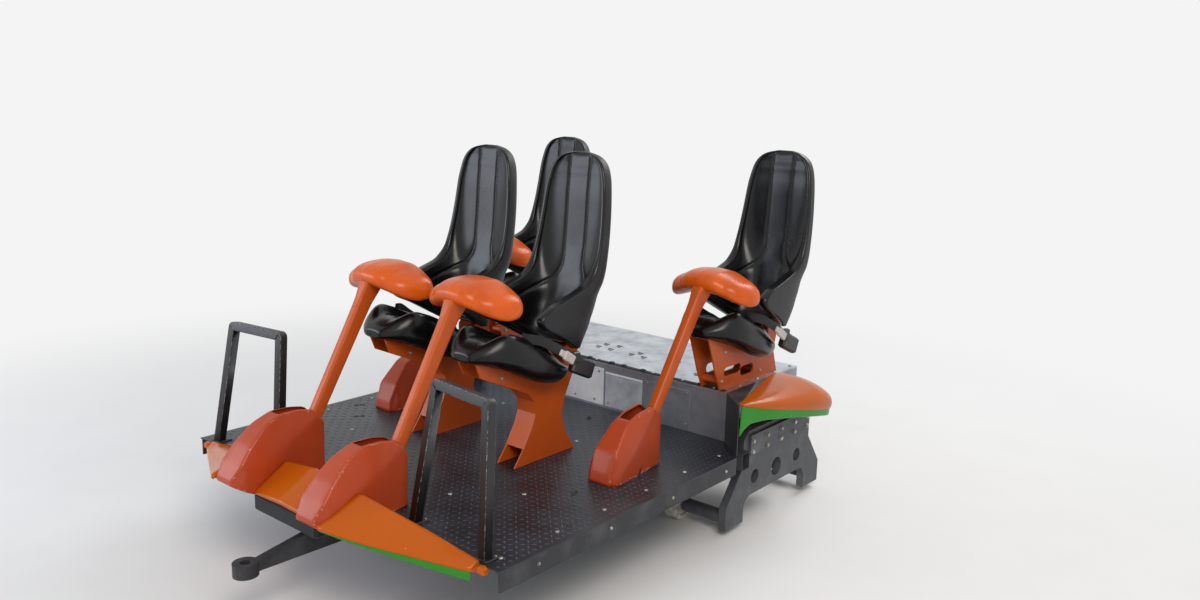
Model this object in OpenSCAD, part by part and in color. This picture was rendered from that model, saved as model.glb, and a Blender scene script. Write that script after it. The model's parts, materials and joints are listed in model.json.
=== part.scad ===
// Roller coaster car: a low deck with four staggered seats, carried at its rear
// on two wheel carriers that clasp a round rail from above, outside and below.
// +X is the way the car travels, +Y its left side, +Z up. Sizes in millimetres.

/* [Deck] */
// How far the walk-on deck stands out past the raised box at each side
deck_margin = 160; // [120:1:200]
// Front edge of the deck at the centre line
deck_front_x = 1110; // [1060:1:1160]
// How far the front corners reach ahead of that
deck_sweep = 85; // [40:1:120]
// Thickness of the tread plate
deck_thick = 5; // [4:0.5:10]
// Depth of the side fascias
fascia_h = 80; // [60:1:110]
// Thickness of the side fascias
fascia_t = 8; // [5:1:14]

/* [Raised box] */
// Front face of the raised box over the wheels
box_front_x = -430; // [-450:1:-415]
// Rear face of the raised box
box_rear_x = -1090; // [-1130:1:-1085]
// Half width of the raised box
box_half_w = 800; // [760:1:840]
// Height of its top over the deck
box_h = 235; // [215:1:270]
// Sheet thickness of its panels
box_t = 5; // [3:0.5:8]
// Thickness of its top plate
box_top_t = 8; // [5:0.5:12]

/* [Frame] */
// Half spacing of the two long frame tubes
frame_half_gauge = 320; // [280:1:360]
// Width of a frame tube
tube_w = 60; // [50:1:80]
// Height of a frame tube
tube_h = 80; // [60:1:100]
// Wall of a frame tube
tube_wall = 3; // [3:0.5:8]
// Diameter of the solid axle beam
axle_d = 128; // [100:1:130]
// Thickness of the sheet floor between the frame tubes over the axle
saddle_t = 16; // [8:1:20]

/* [Running gear] */
// Middle of the wheel carriers along the car
bogie_x = -760; // [-770:1:-750]
// Half spacing of the rails
rail_half_gauge = 600; // [590:1:610]
// Outer diameter of the rail that the wheels clasp
rail_d = 160; // [150:1:170]
// Top of the rail below the deck
rail_drop = 100; // [95:1:105]
// Diameter of a running wheel
run_d = 280; // [260:1:284]
// Width of a running wheel
run_w = 90; // [80:1:96]
// Distance between the two running wheels of a carrier
run_base = 350; // [340:1:352]
// Diameter of a guide wheel
guide_d = 160; // [140:1:164]
// Distance between the two guide wheels of a carrier
guide_base = 340; // [300:1:380]
// Diameter of an under-rail wheel
under_d = 160; // [140:1:170]
// Distance between the two under-rail wheels of a carrier
under_base = 780; // [760:1:790]
// Width of the guide and under-rail wheels
small_w = 60; // [50:1:64]
// Thickness of the carriers' outer hanging plates
drop_plate_t = 38; // [30:1:40]
// Thickness of the yoke plates beside the running wheels
yoke_t = 31; // [24:1:32]

/* [Seats] */
// Seat top over the deck
seat_top = 1324; // [1280:1:1360]
// Half width of a seat shell
seat_half_w = 205; // [195:1:208]
// Wall of the moulded seat shell at its sides
seat_wall = 46; // [40:1:50]
// Skin of the hollow seat base
base_skin = 12; // [8:1:20]
// Offset of the inner seats from the centre line
inner_y = 286; // [276:1:292]
// How far the outer seats stand in from the raised box's sides
outer_inset = 92; // [84:1:100]
// Place of the outer seats behind the inner ones
outer_x = -1032; // [-1045:1:-1020]

/* [Lap bars] */
// Backward lean of the inner bars as photographed
inner_lean = 30; // [26:1:34]
// Backward lean of the outer bars as photographed
outer_lean = 34; // [30:1:38]
// Height of the bar's pivot over the deck
pivot_z = 70; // [60:1:80]
// Diameter of the pivot pin
pivot_d = 30; // [24:1:36]
// Thickness of a bar's stem
stem_t = 44; // [36:1:50]
// Wall of the stem's box section
stem_wall = 5; // [4:0.5:8]
// Half width of a lap pad
pad_half_w = 212; // [200:1:216]

/* [Couplings] */
// Distance between the couplings of two cars in a train
car_pitch = 2758; // [2700:1:2800]
// Place of the rear coupling
rear_pin_x = -1200; // [-1240:1:-1180]
// Drop of the couplings below the deck
pin_drop = 180; // [170:1:190]
// Diameter of the coupling pin's bore
pin_d = 40; // [30:1:50]

/* [Guard hoops] */
// Height of the guard hoops
hoop_h = 550; // [500:1:600]
// Inner leg's foot from the centre line
hoop_in_y = 447; // [430:1:460]
// Outer leg's foot from the centre line
hoop_out_y = 858; // [840:1:875]
// Side of the hoop's square tube
hoop_w = 38; // [30:1:45]
// Wall of the hoop's tube
hoop_wall = 3; // [2:0.5:5]

/* [Hidden] */

$fn = 48;
seat_gap = 0.3;

front_pin_x = rear_pin_x + car_pitch;
deck_half_w = box_half_w + deck_margin;
outer_y = box_half_w - outer_inset;
rail_z = -rail_drop - rail_d / 2;
run_z = -rail_drop + run_d / 2;
under_z = -rail_drop - rail_d - under_d / 2;
deck_z = -under_z + under_d / 2;
guide_y = rail_half_gauge + rail_d / 2 + guide_d / 2;

eye_r = 48;
x_shift = -(front_pin_x + rear_pin_x) / 2;

orange = [0.91, 0.50, 0.12];
red_orange = [0.82, 0.34, 0.16];
green = [0.25, 0.63, 0.18];
black = [0.05, 0.05, 0.055];
steel = [0.45, 0.46, 0.47];
dark = [0.13, 0.13, 0.14];
pale = [0.75, 0.77, 0.78];

// Seat shell sections: height over the deck, rear face behind the seat's own line,
// half width, reach forward from the rear face, squareness of the section, thickness
// of the back at its middle.
S_Z = 0;
S_REAR = 1;
S_HALF = 2;
S_REACH = 3;
S_POWER = 4;
S_BACK = 5;
shell_table = [
    [500, -165, 0.78, 70, 2.6, 40],
    [545, -140, 0.90, 170, 3.2, 42],
    [590, -115, 0.96, 275, 3.8, 44],
    [630, -98, 0.99, 370, 4.2, 46],
    [670, -80, 1.00, 410, 4.4, 48],
    [705, -67, 1.00, 375, 4.2, 50],
    [740, -55, 1.00, 270, 3.8, 53],
    [780, -42, 0.99, 170, 3.4, 56],
    [850, -27, 0.97, 122, 3.2, 60],
    [950, -10, 0.94, 106, 3.2, 66],
    [1060, 4, 0.89, 100, 3.2, 72],
    [1160, 14, 0.82, 98, 3.0, 76],
    [1230, 20, 0.72, 94, 2.8, 76],
    [1280, 20, 0.57, 86, 2.5, 70],
    [1308, 14, 0.38, 74, 2.2, 58],
    [1324, 0, 0.18, 56, 2.0, 42]
];

function sgn_pow(v, p) = sign(v) * pow(abs(v), p);

// Closed loft through rings with equal point counts. A paired ring runs out along one edge of a
// bent wall and back along the other, so its ends close with a strip.
function ring_cap(n, paired) = paired
    ? [for (i = [0 : n / 2 - 2]) each [[i, i + 1, n - 2 - i], [i, n - 2 - i, n - 1 - i]]]
    : [for (i = [1 : n - 2]) [0, i, i + 1]];

function facet_volume(pts, faces) = [for (f = faces) cross(pts[f[0]], pts[f[1]]) * pts[f[2]]];

function total(v) = [for (i = [0 : len(v) - 1]) 1] * v;

module skin(rings, paired = false) {
    n = len(rings[0]);
    m = len(rings);
    pts = [for (r = rings) each r];
    cap = ring_cap(n, paired);
    faces = concat(
        cap,
        [for (j = [0 : m - 2]) for (i = [0 : n - 1])
            let (k = (i + 1) % n, low = j * n, high = low + n)
            each [[low + i, high + i, high + k], [low + i, high + k, low + k]]],
        [for (f = cap) [f[2] + (m - 1) * n, f[1] + (m - 1) * n, f[0] + (m - 1) * n]]
    );
    clockwise = total(facet_volume(pts, faces)) < 0;
    polyhedron(points = pts, faces = clockwise ? faces : [for (f = faces) [f[2], f[1], f[0]]],
        convexity = 8);
}

function u_outline(rear, reach, half, power, steps) = [
    for (i = [0 : steps])
        let (a = -90 + 180 * i / steps)
        [-rear + reach - reach * sgn_pow(cos(a), 2 / power), half * sgn_pow(sin(a), 2 / power)]
];

function shell_ring(row, steps = 20) =
    let (
        half = row[S_HALF] * seat_half_w,
        outer = u_outline(row[S_REAR], row[S_REACH], half, row[S_POWER], steps),
        wall = min(seat_wall, half * 0.6),
        inner = u_outline(row[S_REAR] - row[S_BACK], row[S_REACH] - row[S_BACK], half - wall,
            row[S_POWER], steps),
        z = row[S_Z] + seat_top - 1324
    )
    concat(
        [for (p = outer) [p[0], p[1], z]],
        [for (i = [steps : -1 : 0]) [inner[i][0], inner[i][1], z]]
    );

module seat_shell() {
    color(black) skin([for (row = shell_table) shell_ring(row)], paired = true);
}

// Seat base sections: place along the seat, middle height, half width, half height.
base_table = [
    [196, 395, 70, 22],
    [222, 398, 112, 32],
    [275, 406, 142, 44],
    [360, 424, 162, 54],
    [450, 456, 170, 62],
    [540, 496, 168, 64],
    [620, 522, 156, 64],
    [680, 532, 128, 50],
    [716, 532, 96, 36],
    [745, 526, 52, 20]
];
base_flat = 0.8;

function base_under(row) = row[1] - row[3] * base_flat;

function base_ring(row, inset = 0, n = 24) = [
    for (i = [0 : n - 1])
        let (a = 360 * i / n)
        [row[0], (row[2] - inset) * sgn_pow(cos(a), 0.8),
         max(row[1] + (row[3] - inset) * sgn_pow(sin(a), 0.8), base_under(row) + inset)]
];

module seat_base() {
    color(black) difference() {
        skin([for (row = base_table) base_ring(row)]);
        skin([for (i = [2 : len(base_table) - 3]) base_ring(base_table[i], base_skin)]);
    }
}

// Seats: place along the car, offset, lean of the bar, place of the bar's cover, its offset.
SX = 0;
SY = 1;
BLEAN = 2;
BX = 3;
BY = 4;
seat_pairs = [
    [0, inner_y, inner_lean, 1045, 268],
    [outer_x, outer_y, outer_lean, 8, outer_y - 3]
];
inner = seat_pairs[0];
outer = seat_pairs[1];

module both() {
    children();
    mirror([0, 1, 0]) children();
}

module at_seats() {
    both() for (s = seat_pairs) translate([s[SX], s[SY], 0]) children();
}

// Running gear

module tyre(d, w, bore) {
    rotate([90, 0, 0]) translate([0, 0, -w / 2]) difference() {
        cylinder(d = d, h = w, $fn = 64);
        translate([0, 0, -1]) cylinder(d = bore, h = w + 2, $fn = 64);
    }
}

tread_t = 25;
run_bore = run_d - 2 * tread_t;
run_pin_d = 50;
bearing_gap = 0.05;
hub_dish = 24;
hub_boss_d = 100;

module run_tyre() {
    color(black) tyre(run_d, run_w, run_bore);
}

module run_hub() {
    color(steel) rotate([90, 0, 0]) translate([0, 0, -run_w / 2]) difference() {
        cylinder(d = run_bore, h = run_w, $fn = 64);
        translate([0, 0, -1]) cylinder(d = run_pin_d + 2 * bearing_gap, h = run_w + 2);
        for (z = [-1, run_w - hub_dish]) translate([0, 0, z]) difference() {
            cylinder(d = run_bore - 30, h = hub_dish + 1, $fn = 64);
            translate([0, 0, -1]) cylinder(d = hub_boss_d, h = hub_dish + 3);
        }
    }
}

small_pin_d = 36;
small_dish = 12;
small_boss_d = 66;

module small_wheel(d) {
    color(pale) translate([0, 0, -small_w / 2]) difference() {
        cylinder(d = d, h = small_w, $fn = 64);
        translate([0, 0, -1]) cylinder(d = small_pin_d + 2 * bearing_gap, h = small_w + 2);
        for (z = [-1, small_w - small_dish]) translate([0, 0, z]) difference() {
            cylinder(d = d - 44, h = small_dish + 1, $fn = 64);
            translate([0, 0, -1]) cylinder(d = small_boss_d, h = small_dish + 3);
        }
    }
}

side_gap = 8;
yoke_in_y = rail_half_gauge - run_w / 2 - side_gap - yoke_t;
yoke_out_y = rail_half_gauge + run_w / 2 + side_gap;
yoke_half = run_base / 2 + 80;
yoke_h = 110;
drop_y = guide_y + guide_d / 2 + 20;
drop_bottom = under_z - 46;
drop_top = 60;
shelf_t = 34;
shelf_z = -rail_drop + 8;
shelf_half = yoke_half + 60;
cap_t = 9.5;
doubler_t = 15;

// Side view of the outer hanging plate: a deep top beam and two legs with an arch between.
module drop_outline() {
    half_foot = under_base / 2 + 50;
    arch_half = under_base / 2 - 100;
    arch_r = 60;
    difference() {
        polygon([
            [-half_foot, drop_bottom], [half_foot, drop_bottom],
            [half_foot, drop_bottom + 110], [shelf_half, shelf_z - 20], [shelf_half, drop_top - 40],
            [shelf_half - 40, drop_top], [-shelf_half + 40, drop_top], [-shelf_half, drop_top - 40],
            [-shelf_half, shelf_z - 20], [-half_foot, drop_bottom + 110]
        ]);
        translate([-arch_half, drop_bottom - 1]) square([2 * arch_half, arch_r + 1]);
        translate([-arch_half + arch_r, drop_bottom]) square([2 * (arch_half - arch_r), 2 * arch_r]);
        for (x = [-1, 1]) {
            translate([x * (arch_half - arch_r), drop_bottom + arch_r]) circle(r = arch_r);
            translate([x * 200, shelf_z - 90]) circle(r = 34);
        }
        translate([0, shelf_z - 96]) circle(r = 46);
    }
}

// Side view of a yoke plate: round ends about the wheel shafts and a waist between them.
module yoke_outline() {
    difference() {
        union() {
            for (x = [-1, 1]) translate([x * run_base / 2, run_z]) circle(d = yoke_h + 20);
            translate([-run_base / 2, run_z - yoke_h / 2]) square([run_base, yoke_h]);
        }
        for (x = [-1, 1]) translate([x * 78, run_z]) circle(r = 24);
    }
}

module xz_plate(y, t) {
    translate([0, y + t, 0]) rotate([90, 0, 0]) linear_extrude(t) children();
}

// A shaft along Y from y0 to y1 with a thicker cap on its inner end.
module y_shaft(x, z, y0, y1, d) {
    translate([x, y0, z]) rotate([-90, 0, 0]) cylinder(d = d, h = y1 - y0);
    translate([x, y0 - cap_t + 0.5, z]) rotate([-90, 0, 0]) cylinder(d = d + 20, h = cap_t);
}

module wheel_carriers() {
    color(steel) both() carrier();
}

module carrier() {
    under_in_y = rail_half_gauge - small_w / 2 - side_gap;
    under_out_y = rail_half_gauge + small_w / 2 + side_gap;
    guide_foot_z = rail_z - small_w / 2 - side_gap;
    translate([bogie_x, 0, 0]) {
        xz_plate(drop_y, drop_plate_t) drop_outline();
        // Doubler on the outside of the plate's top beam
        translate([-shelf_half + 40, drop_y + drop_plate_t - 1, -60])
            cube([2 * shelf_half - 80, doubler_t + 1, drop_top + 40]);
        for (y = [yoke_in_y, yoke_out_y]) xz_plate(y, yoke_t) yoke_outline();
        // Web and top block between the two running wheels
        translate([-22, yoke_in_y + 1, run_z - yoke_h / 2])
            cube([44, yoke_out_y - yoke_in_y, yoke_h]);
        translate([-40, yoke_in_y + 1, run_z + yoke_h / 2 - 1])
            cube([80, yoke_out_y - yoke_in_y + yoke_t - 2, 46]);
        // Shelf out to the hanging plate, with webs on it
        translate([-shelf_half + 4, yoke_out_y, shelf_z])
            cube([2 * shelf_half - 8, drop_y - yoke_out_y + 1, shelf_t]);
        translate([-yoke_half, yoke_out_y, shelf_z])
            cube([2 * yoke_half, yoke_t, run_z - yoke_h / 2 - shelf_z + 30]);
        for (x = [-shelf_half + 30, -12, shelf_half - 54])
            translate([x, yoke_out_y + 1, shelf_z + shelf_t - 1])
                cube([24, drop_y - yoke_out_y, drop_top - shelf_z - shelf_t - 12]);
        for (x = [-1, 1]) {
            y_shaft(x * run_base / 2, run_z, yoke_in_y - 6, yoke_out_y + yoke_t + 10, run_pin_d);
            y_shaft(x * under_base / 2, under_z, under_in_y, drop_y + 1, small_pin_d);
            translate([x * under_base / 2, under_out_y, under_z]) rotate([-90, 0, 0])
                cylinder(d = small_pin_d + 30, h = drop_y - under_out_y + 1);
            translate([x * guide_base / 2, guide_y, guide_foot_z - 1])
                cylinder(d = small_pin_d, h = shelf_z - guide_foot_z + 2);
            translate([x * guide_base / 2, guide_y, guide_foot_z - cap_t])
                cylinder(d = small_pin_d + 20, h = cap_t);
        }
    }
}

axle_end_y = yoke_in_y - 6;
axle_z = run_z + 28;
flange_t = 26;
saddle_half = 150;

module axle_beam() {
    color(steel) {
        translate([bogie_x, 0, axle_z]) {
            rotate([-90, 0, 0]) cylinder(d = axle_d, h = 2 * axle_end_y - 20, center = true, $fn = 64);
            both() translate([0, axle_end_y - flange_t, 0]) rotate([-90, 0, 0]) {
                cylinder(d = axle_d + 70, h = flange_t, $fn = 64);
                cylinder(d = 40, h = flange_t + 6);
            }
        }
        both() difference() {
            translate([bogie_x - saddle_half, frame_half_gauge - tube_w / 2 - 10, -deck_thick + saddle_t - 1])
                cube([2 * saddle_half, tube_w + 20, axle_z + deck_thick - saddle_t + 30]);
            translate([bogie_x, 0, axle_z]) rotate([-90, 0, 0]) cylinder(d = axle_d - 1, h = 1000);
            for (x = [-1, 1]) translate([bogie_x + x * (saddle_half + 30), 0, axle_z + 64])
                rotate([-90, 0, 0]) cylinder(r = 96, h = 1000);
        }
        translate([bogie_x - saddle_half - 60, -frame_half_gauge - tube_w / 2, -deck_thick])
            cube([2 * saddle_half + 120, 2 * frame_half_gauge + tube_w, saddle_t]);
    }
}

// Frame

frame_rear_x = box_rear_x - 40;
frame_front_x = deck_front_x - 30;
cross_x = [1050, 520, 100, box_front_x + tube_w / 2 + 20, frame_rear_x + tube_w / 2];

module tube_net(shrink) {
    past = shrink > 0 ? 1 : 0;
    both() translate([frame_rear_x - past, frame_half_gauge - tube_w / 2 + shrink,
            -deck_thick - tube_h + shrink])
        cube([frame_front_x - frame_rear_x + 2 * past, tube_w - 2 * shrink, tube_h - 2 * shrink]);
    for (i = [0 : len(cross_x) - 1]) {
        half = i == len(cross_x) - 1 ? frame_half_gauge + tube_w / 2 : deck_half_w - fascia_t;
        translate([cross_x[i] - tube_w / 2 + shrink, -half - past, -deck_thick - tube_h + shrink])
            cube([tube_w - 2 * shrink, 2 * (half + past), tube_h - 2 * shrink]);
    }
}

module chassis_frame() {
    color(dark) difference() {
        tube_net(0);
        tube_net(tube_wall);
    }
}

clevis_gap = 56;
clevis_ear_t = 20;
tongue_t = 50;
tongue_web = 30;

module rear_clevis() {
    top = -deck_thick - tube_h;
    color(dark) difference() {
        union() {
            for (z = [-pin_drop + clevis_gap / 2, -pin_drop - clevis_gap / 2 - clevis_ear_t]) {
                translate([rear_pin_x, 0, z]) cylinder(r = eye_r, h = clevis_ear_t);
                translate([rear_pin_x, -eye_r, z])
                    cube([frame_rear_x + tube_w - rear_pin_x, 2 * eye_r, clevis_ear_t]);
            }
            translate([frame_rear_x, -eye_r, -pin_drop - clevis_gap / 2 - clevis_ear_t])
                cube([tube_w, 2 * eye_r, top + pin_drop + clevis_gap / 2 + clevis_ear_t]);
        }
        translate([rear_pin_x, 0, -pin_drop - 100]) cylinder(d = pin_d, h = 200);
    }
}

module front_tongue() {
    top = -deck_thick - tube_h;
    root_x = cross_x[1] - tube_w / 2;
    neck_x = front_pin_x - eye_r + 4;
    color(dark) difference() {
        union() {
            xz_plate(-tongue_web / 2, tongue_web) polygon([
                [root_x, top], [deck_front_x - 20, top], [neck_x, -pin_drop + tongue_t / 2 - 3],
                [neck_x, -pin_drop - tongue_t / 2 + 3], [deck_front_x - 120, -pin_drop - 30],
                [root_x + 40, top - 46], [root_x, top - 46]
            ]);
            translate([front_pin_x, 0, -pin_drop - tongue_t / 2]) cylinder(r = eye_r, h = tongue_t);
        }
        translate([front_pin_x, 0, -pin_drop - 100]) cylinder(d = pin_d, h = 200);
        for (x = [620, 760, 900, 1040]) translate([x, 0, top - 34 - (x - 620) * 0.07])
            rotate([90, 0, 0]) cylinder(d = 34 + (x - 620) * 0.06, h = 100, center = true);
    }
}

// Deck

function deck_edge_x(y) = deck_front_x + deck_sweep * abs(y) / deck_half_w;
corner_x = -285;
tab_front_x = 1370;
cover_half_w = 80;
tab_inset = 6;

module deck_outline() {
    polygon([
        [box_front_x, -box_half_w], [corner_x, -deck_half_w],
        [deck_edge_x(deck_half_w), -deck_half_w], [deck_front_x, 0],
        [deck_edge_x(deck_half_w), deck_half_w], [corner_x, deck_half_w],
        [box_front_x, box_half_w]
    ]);
}

module deck_plate() {
    color(dark) translate([0, 0, -deck_thick]) linear_extrude(deck_thick) union() {
        deck_outline();
        for (s = [-1, 1])
            translate([deck_front_x - 60, s * inner[BY] - cover_half_w + tab_inset])
                square([tab_front_x - deck_front_x + 60, 2 * (cover_half_w - tab_inset)]);
    }
}

module deck_fascias() {
    color(black) both() translate([corner_x, deck_half_w - fascia_t, -fascia_h])
        cube([deck_edge_x(deck_half_w) - corner_x - 6, fascia_t, fascia_h - deck_thick]);
}

side_foot_z = drop_top + 20;

module box_panels() {
    h = box_h - box_top_t;
    color(pale) {
        for (x = [box_front_x - box_t, box_rear_x])
            translate([x, -box_half_w, -deck_thick]) cube([box_t, 2 * box_half_w, h + deck_thick]);
        both() translate([box_rear_x + box_t, box_half_w - box_t, side_foot_z])
            cube([box_front_x - box_rear_x - 2 * box_t, box_t, h - side_foot_z]);
    }
}

module box_top_plate() {
    color(pale) translate([box_rear_x, -box_half_w, box_h - box_top_t])
        cube([box_front_x - box_rear_x, 2 * box_half_w, box_top_t]);
}

// Where the hood's inner edge meets the side of the raised box.
wing_rear_x = box_front_x - 254;
wing_tip_y = deck_half_w - fascia_t;

// Corner gusset that carries the raised box's front out to the hood.
module box_wing() {
    plan = [[box_front_x, box_half_w], [corner_x - 10, wing_tip_y], [wing_rear_x, box_half_w]];
    wall_t = 8;
    translate([0, 0, box_h - box_top_t]) linear_extrude(box_top_t) polygon(plan);
    linear_extrude(box_h - box_top_t + 1) polygon([
        plan[0], plan[1], [plan[1][0] - 12, plan[1][1] - 4], [plan[0][0] - wall_t, plan[0][1]]
    ]);
}

module box_wings() {
    color(black) both() box_wing();
}

// Nose sections: offset, place of the crest ahead of the deck and its height, reach of the front
// edge ahead of the deck and its height.
nose_middle = [[-184, 129, 105, 266, 22], [0, 140, 125, 290, 35], [184, 129, 105, 266, 22]];
nose_side = [
    [352, 158, 135, 335, 65],
    [510, 101, 89, 240, 33],
    [680, 41, 39, 139, 9],
    [790, 14, 10, 73, -7],
    [850, 10, 5, 37, -15]
];
nose_t = 5;
nose_lip = 4;

// Thin wall from the deck's front edge over the crest and down to the front lip.
function nose_ring(r) =
    let (y = r[0], xd = deck_edge_x(y), xc = xd + r[1], zc = r[2], xf = xd + r[3], zf = r[4],
         fall = (zc - zf) / (xf - xc), drop = nose_t * sqrt(1 + fall * fall),
         foot = -deck_thick - 40)
    [[xd, y, foot], [xd, y, 0], [xc, y, zc], [xf, y, zf], [xf, y, zf - nose_lip - drop],
     [xf - nose_t, y, zf - nose_lip - drop], [xf - nose_t, y, zf + nose_t * fall - drop],
     [xc + nose_t, y, zc - nose_t * fall - 1.4 * drop], [xd + nose_t, y, -drop - nose_t],
     [xd + nose_t, y, foot]];

// A middle piece between the two inner covers and a swept piece outside each of them.
module nose_cover() {
    color(orange) {
        skin([for (r = nose_middle) nose_ring(r)], paired = true);
        both() skin([for (r = nose_side) nose_ring(r)], paired = true);
    }
}

// Stripe depths along the side pieces of the nose.
stripe_depth = [4, 14, 26, 32, 34];

module nose_trim() {
    color(green) both() skin([for (i = [0 : len(nose_side) - 1])
        let (r = nose_side[i], ring = nose_ring(r), x = ring[4][0], y = r[0], z = ring[4][2],
             low = z - stripe_depth[i])
        [[x, y, z], [x, y, low], [x - nose_t, y, low], [x - nose_t, y, z]]]);
}

hoop_top_in = 500;
hoop_top_out = 803;
// How far a hoop's top stands back from its feet.
hoop_rake = 70;

function hoop_foot_x(y) = deck_edge_x(y) - 26;

// One leg of a hoop, leaning back and inward, as a square tube.
module hoop_leg(y0, y1, inset) {
    rise = hoop_h - hoop_w;
    foot = inset > 0 ? 30 : 0;
    w = hoop_w - 2 * inset;
    cut = [hoop_rake + 120, 400, 100];
    translate([hoop_foot_x(y0), y0, 0]) difference() {
        rotate([0, -atan2(hoop_rake, rise), 0]) rotate([-atan2(y1 - y0, norm([rise, hoop_rake])), 0, 0])
            translate([-w / 2, -w / 2, foot - 20]) cube([w, w, rise + 40 - foot]);
        translate([-hoop_rake - 60, -200, -100]) cube(cut);
        translate([-hoop_rake - 60, -200, rise + (inset > 0 ? -inset : 2)]) cube(cut);
    }
}

module guard_hoop() {
    xi = hoop_foot_x(hoop_in_y) - hoop_rake;
    xo = hoop_foot_x(hoop_out_y) - hoop_rake;
    skew = atan2(xo - xi, hoop_top_out - hoop_top_in);
    color(black) difference() {
        union() {
            hoop_leg(hoop_in_y, hoop_top_in, 0);
            hoop_leg(hoop_out_y, hoop_top_out, 0);
            translate([xi, hoop_top_in, hoop_h - hoop_w / 2]) rotate([0, 0, -skew])
                translate([-hoop_w / 2, -hoop_w / 2 + 1, -hoop_w / 2])
                cube([hoop_w, (hoop_top_out - hoop_top_in) / cos(skew) + hoop_w - 2, hoop_w]);
        }
        hoop_leg(hoop_in_y, hoop_top_in, hoop_wall);
        hoop_leg(hoop_out_y, hoop_top_out, hoop_wall);
    }
}

// Hood sections: place along the car, inner edge out from the raised box and its height, outer
// edge out from the deck's side and its height, foot.
fairing_table = [
    [-302, 146, 246, 8, 244, 100],
    [-380, 118, 252, 25, 242, 118],
    [-560, 49, 268, 60, 222, 128],
    [-684, 0, 284, 77, 203, 125],
    [-800, 0, 292, 90, 181, 118],
    [-920, 0, 272, 98, 148, 106],
    [-1010, 0, 226, 82, 120, 94]
];
F_X = 0;
F_IN_Y = 1;
F_IN_Z = 2;
F_OUT_Y = 3;
F_OUT_Z = 4;
F_FOOT_Z = 5;
fairing_t = 6;
fairing_crown = 12;

module fairing() {
    skin([for (r = fairing_table)
        let (x = r[F_X], in_y = box_half_w + r[F_IN_Y], out_y = deck_half_w + r[F_OUT_Y],
             w = (out_y - in_y) / (deck_margin + fairing_table[3][F_OUT_Y]),
             foot = x > wing_rear_x ? box_h : box_h - 60,
             mid_y = (in_y + out_y) / 2,
             mid_z = (r[F_IN_Z] + r[F_OUT_Z]) / 2 + fairing_crown * w,
             t = min(fairing_t, (out_y - in_y) / 4))
        [[x, in_y, foot], [x, in_y, r[F_IN_Z]], [x, mid_y, mid_z],
         [x, out_y, r[F_OUT_Z]], [x, out_y - t, r[F_OUT_Z] - 1],
         [x, mid_y, mid_z - t], [x, in_y + t, r[F_IN_Z] - t],
         [x, in_y + t, foot]]], paired = true);
}

module fairings() {
    color(orange) both() fairing();
}

module fairing_trims() {
    color(green) both() skin([for (r = fairing_table)
        let (x = r[F_X], y = deck_half_w + r[F_OUT_Y], t = fairing_t)
        [[x, y, r[F_OUT_Z]], [x, y - 4, r[F_FOOT_Z]], [x, y - 4 - t, r[F_FOOT_Z]],
         [x, y - t, r[F_OUT_Z] - 1]]]);
}

// Seat stands

plate_t = 8;
plate_off = 50;
web_t = 6;
base_rear = base_table[0][0];

function shell_back(row) =
    let (h = row[S_HALF] * seat_half_w, p = row[S_POWER])
    -row[S_REAR] + row[S_REACH] * (1 - pow(1 - pow(plate_off / h, p), 1 / p)) - seat_gap;

// Upright that backs the shell: front edge follows the shell, rear edge stands clear of it.
spine_rear = [[-24, 925], [8, 744], [56, 603], [95, 461], [130, 351]];
spine_front = [for (row = shell_table) if (row[S_Z] < 1000) [shell_back(row), row[S_Z] + seat_top - 1324]];
arm_top = [for (i = [len(base_table) - 2 : -1 : 1])
    [base_table[i][0], base_under(base_table[i]) - seat_gap]];

// Foot of an inner stand: waisted, with a toe on the deck in front and behind.
inner_foot = [[178, 254], [197, 184], [175, 100], [112, 0], [490, 0], [436, 72], [383, 164],
    [366, 214], [372, 270], [412, 315], [519, 364], [690, 440]];
// Foot of an outer stand: a long low bar on the raised box.
outer_foot = [[88, box_h], [600, box_h], [642, 320], [690, 440]];

module stand_outline(foot) {
    nook = [[base_rear - 6, base_under(base_table[1]) - seat_gap], [base_rear - 6, 478]];
    polygon(concat(spine_rear, foot, arm_top, nook, spine_front));
}

// An oval hole: its middle, half length and end radius.
module slot_hole(h) {
    for (k = [-1, 1]) translate([h[0] + k * (h[2] - h[3]), h[1]]) circle(r = h[3]);
    translate([h[0] - h[2] + h[3], h[1] - h[3]]) square([2 * (h[2] - h[3]), 2 * h[3]]);
}

// Thin sheet between a stand's two plates, along a line of points near one edge of them.
module web(line, t) {
    back = [for (i = [len(line) - 1 : -1 : 0]) [line[i][0] + t, line[i][1]]];
    xz_plate(-plate_off, 2 * plate_off) polygon(concat(line, back));
}

module plate_pair() {
    for (k = [-1, 1]) xz_plate(k * plate_off - plate_t / 2, plate_t) children();
}

module inner_stand() {
    plate_pair() stand_outline(inner_foot);
    web([[103, 470], [142, 351], [182, 254], [201, 184], [179, 100], [156, 60]], web_t);
    web([[436, 72], [383, 164], [366, 214], [372, 270], [412, 315]], -web_t);
}

module outer_stand() {
    plate_pair() difference() {
        stand_outline(outer_foot);
        for (h = [[500, 318, 74, 22], [372, 296, 60, 24]]) slot_hole(h);
    }
    web([[103, 470], [142, 351], [120, 300], [104, box_h + 10]], web_t);
    for (p = [[250, 268], [590, 280]]) translate([p[0], 0, p[1]]) rotate([90, 0, 0])
        cylinder(d = 30, h = 2 * plate_off, center = true);
}

module seat_stands_inner() {
    color(red_orange) both() translate([inner[SX], inner[SY], 0]) inner_stand();
}

module seat_stands_outer() {
    color(red_orange) both() translate([outer[SX], outer[SY], 0]) outer_stand();
}

// Lap bars

cover_wall = 5;

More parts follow.
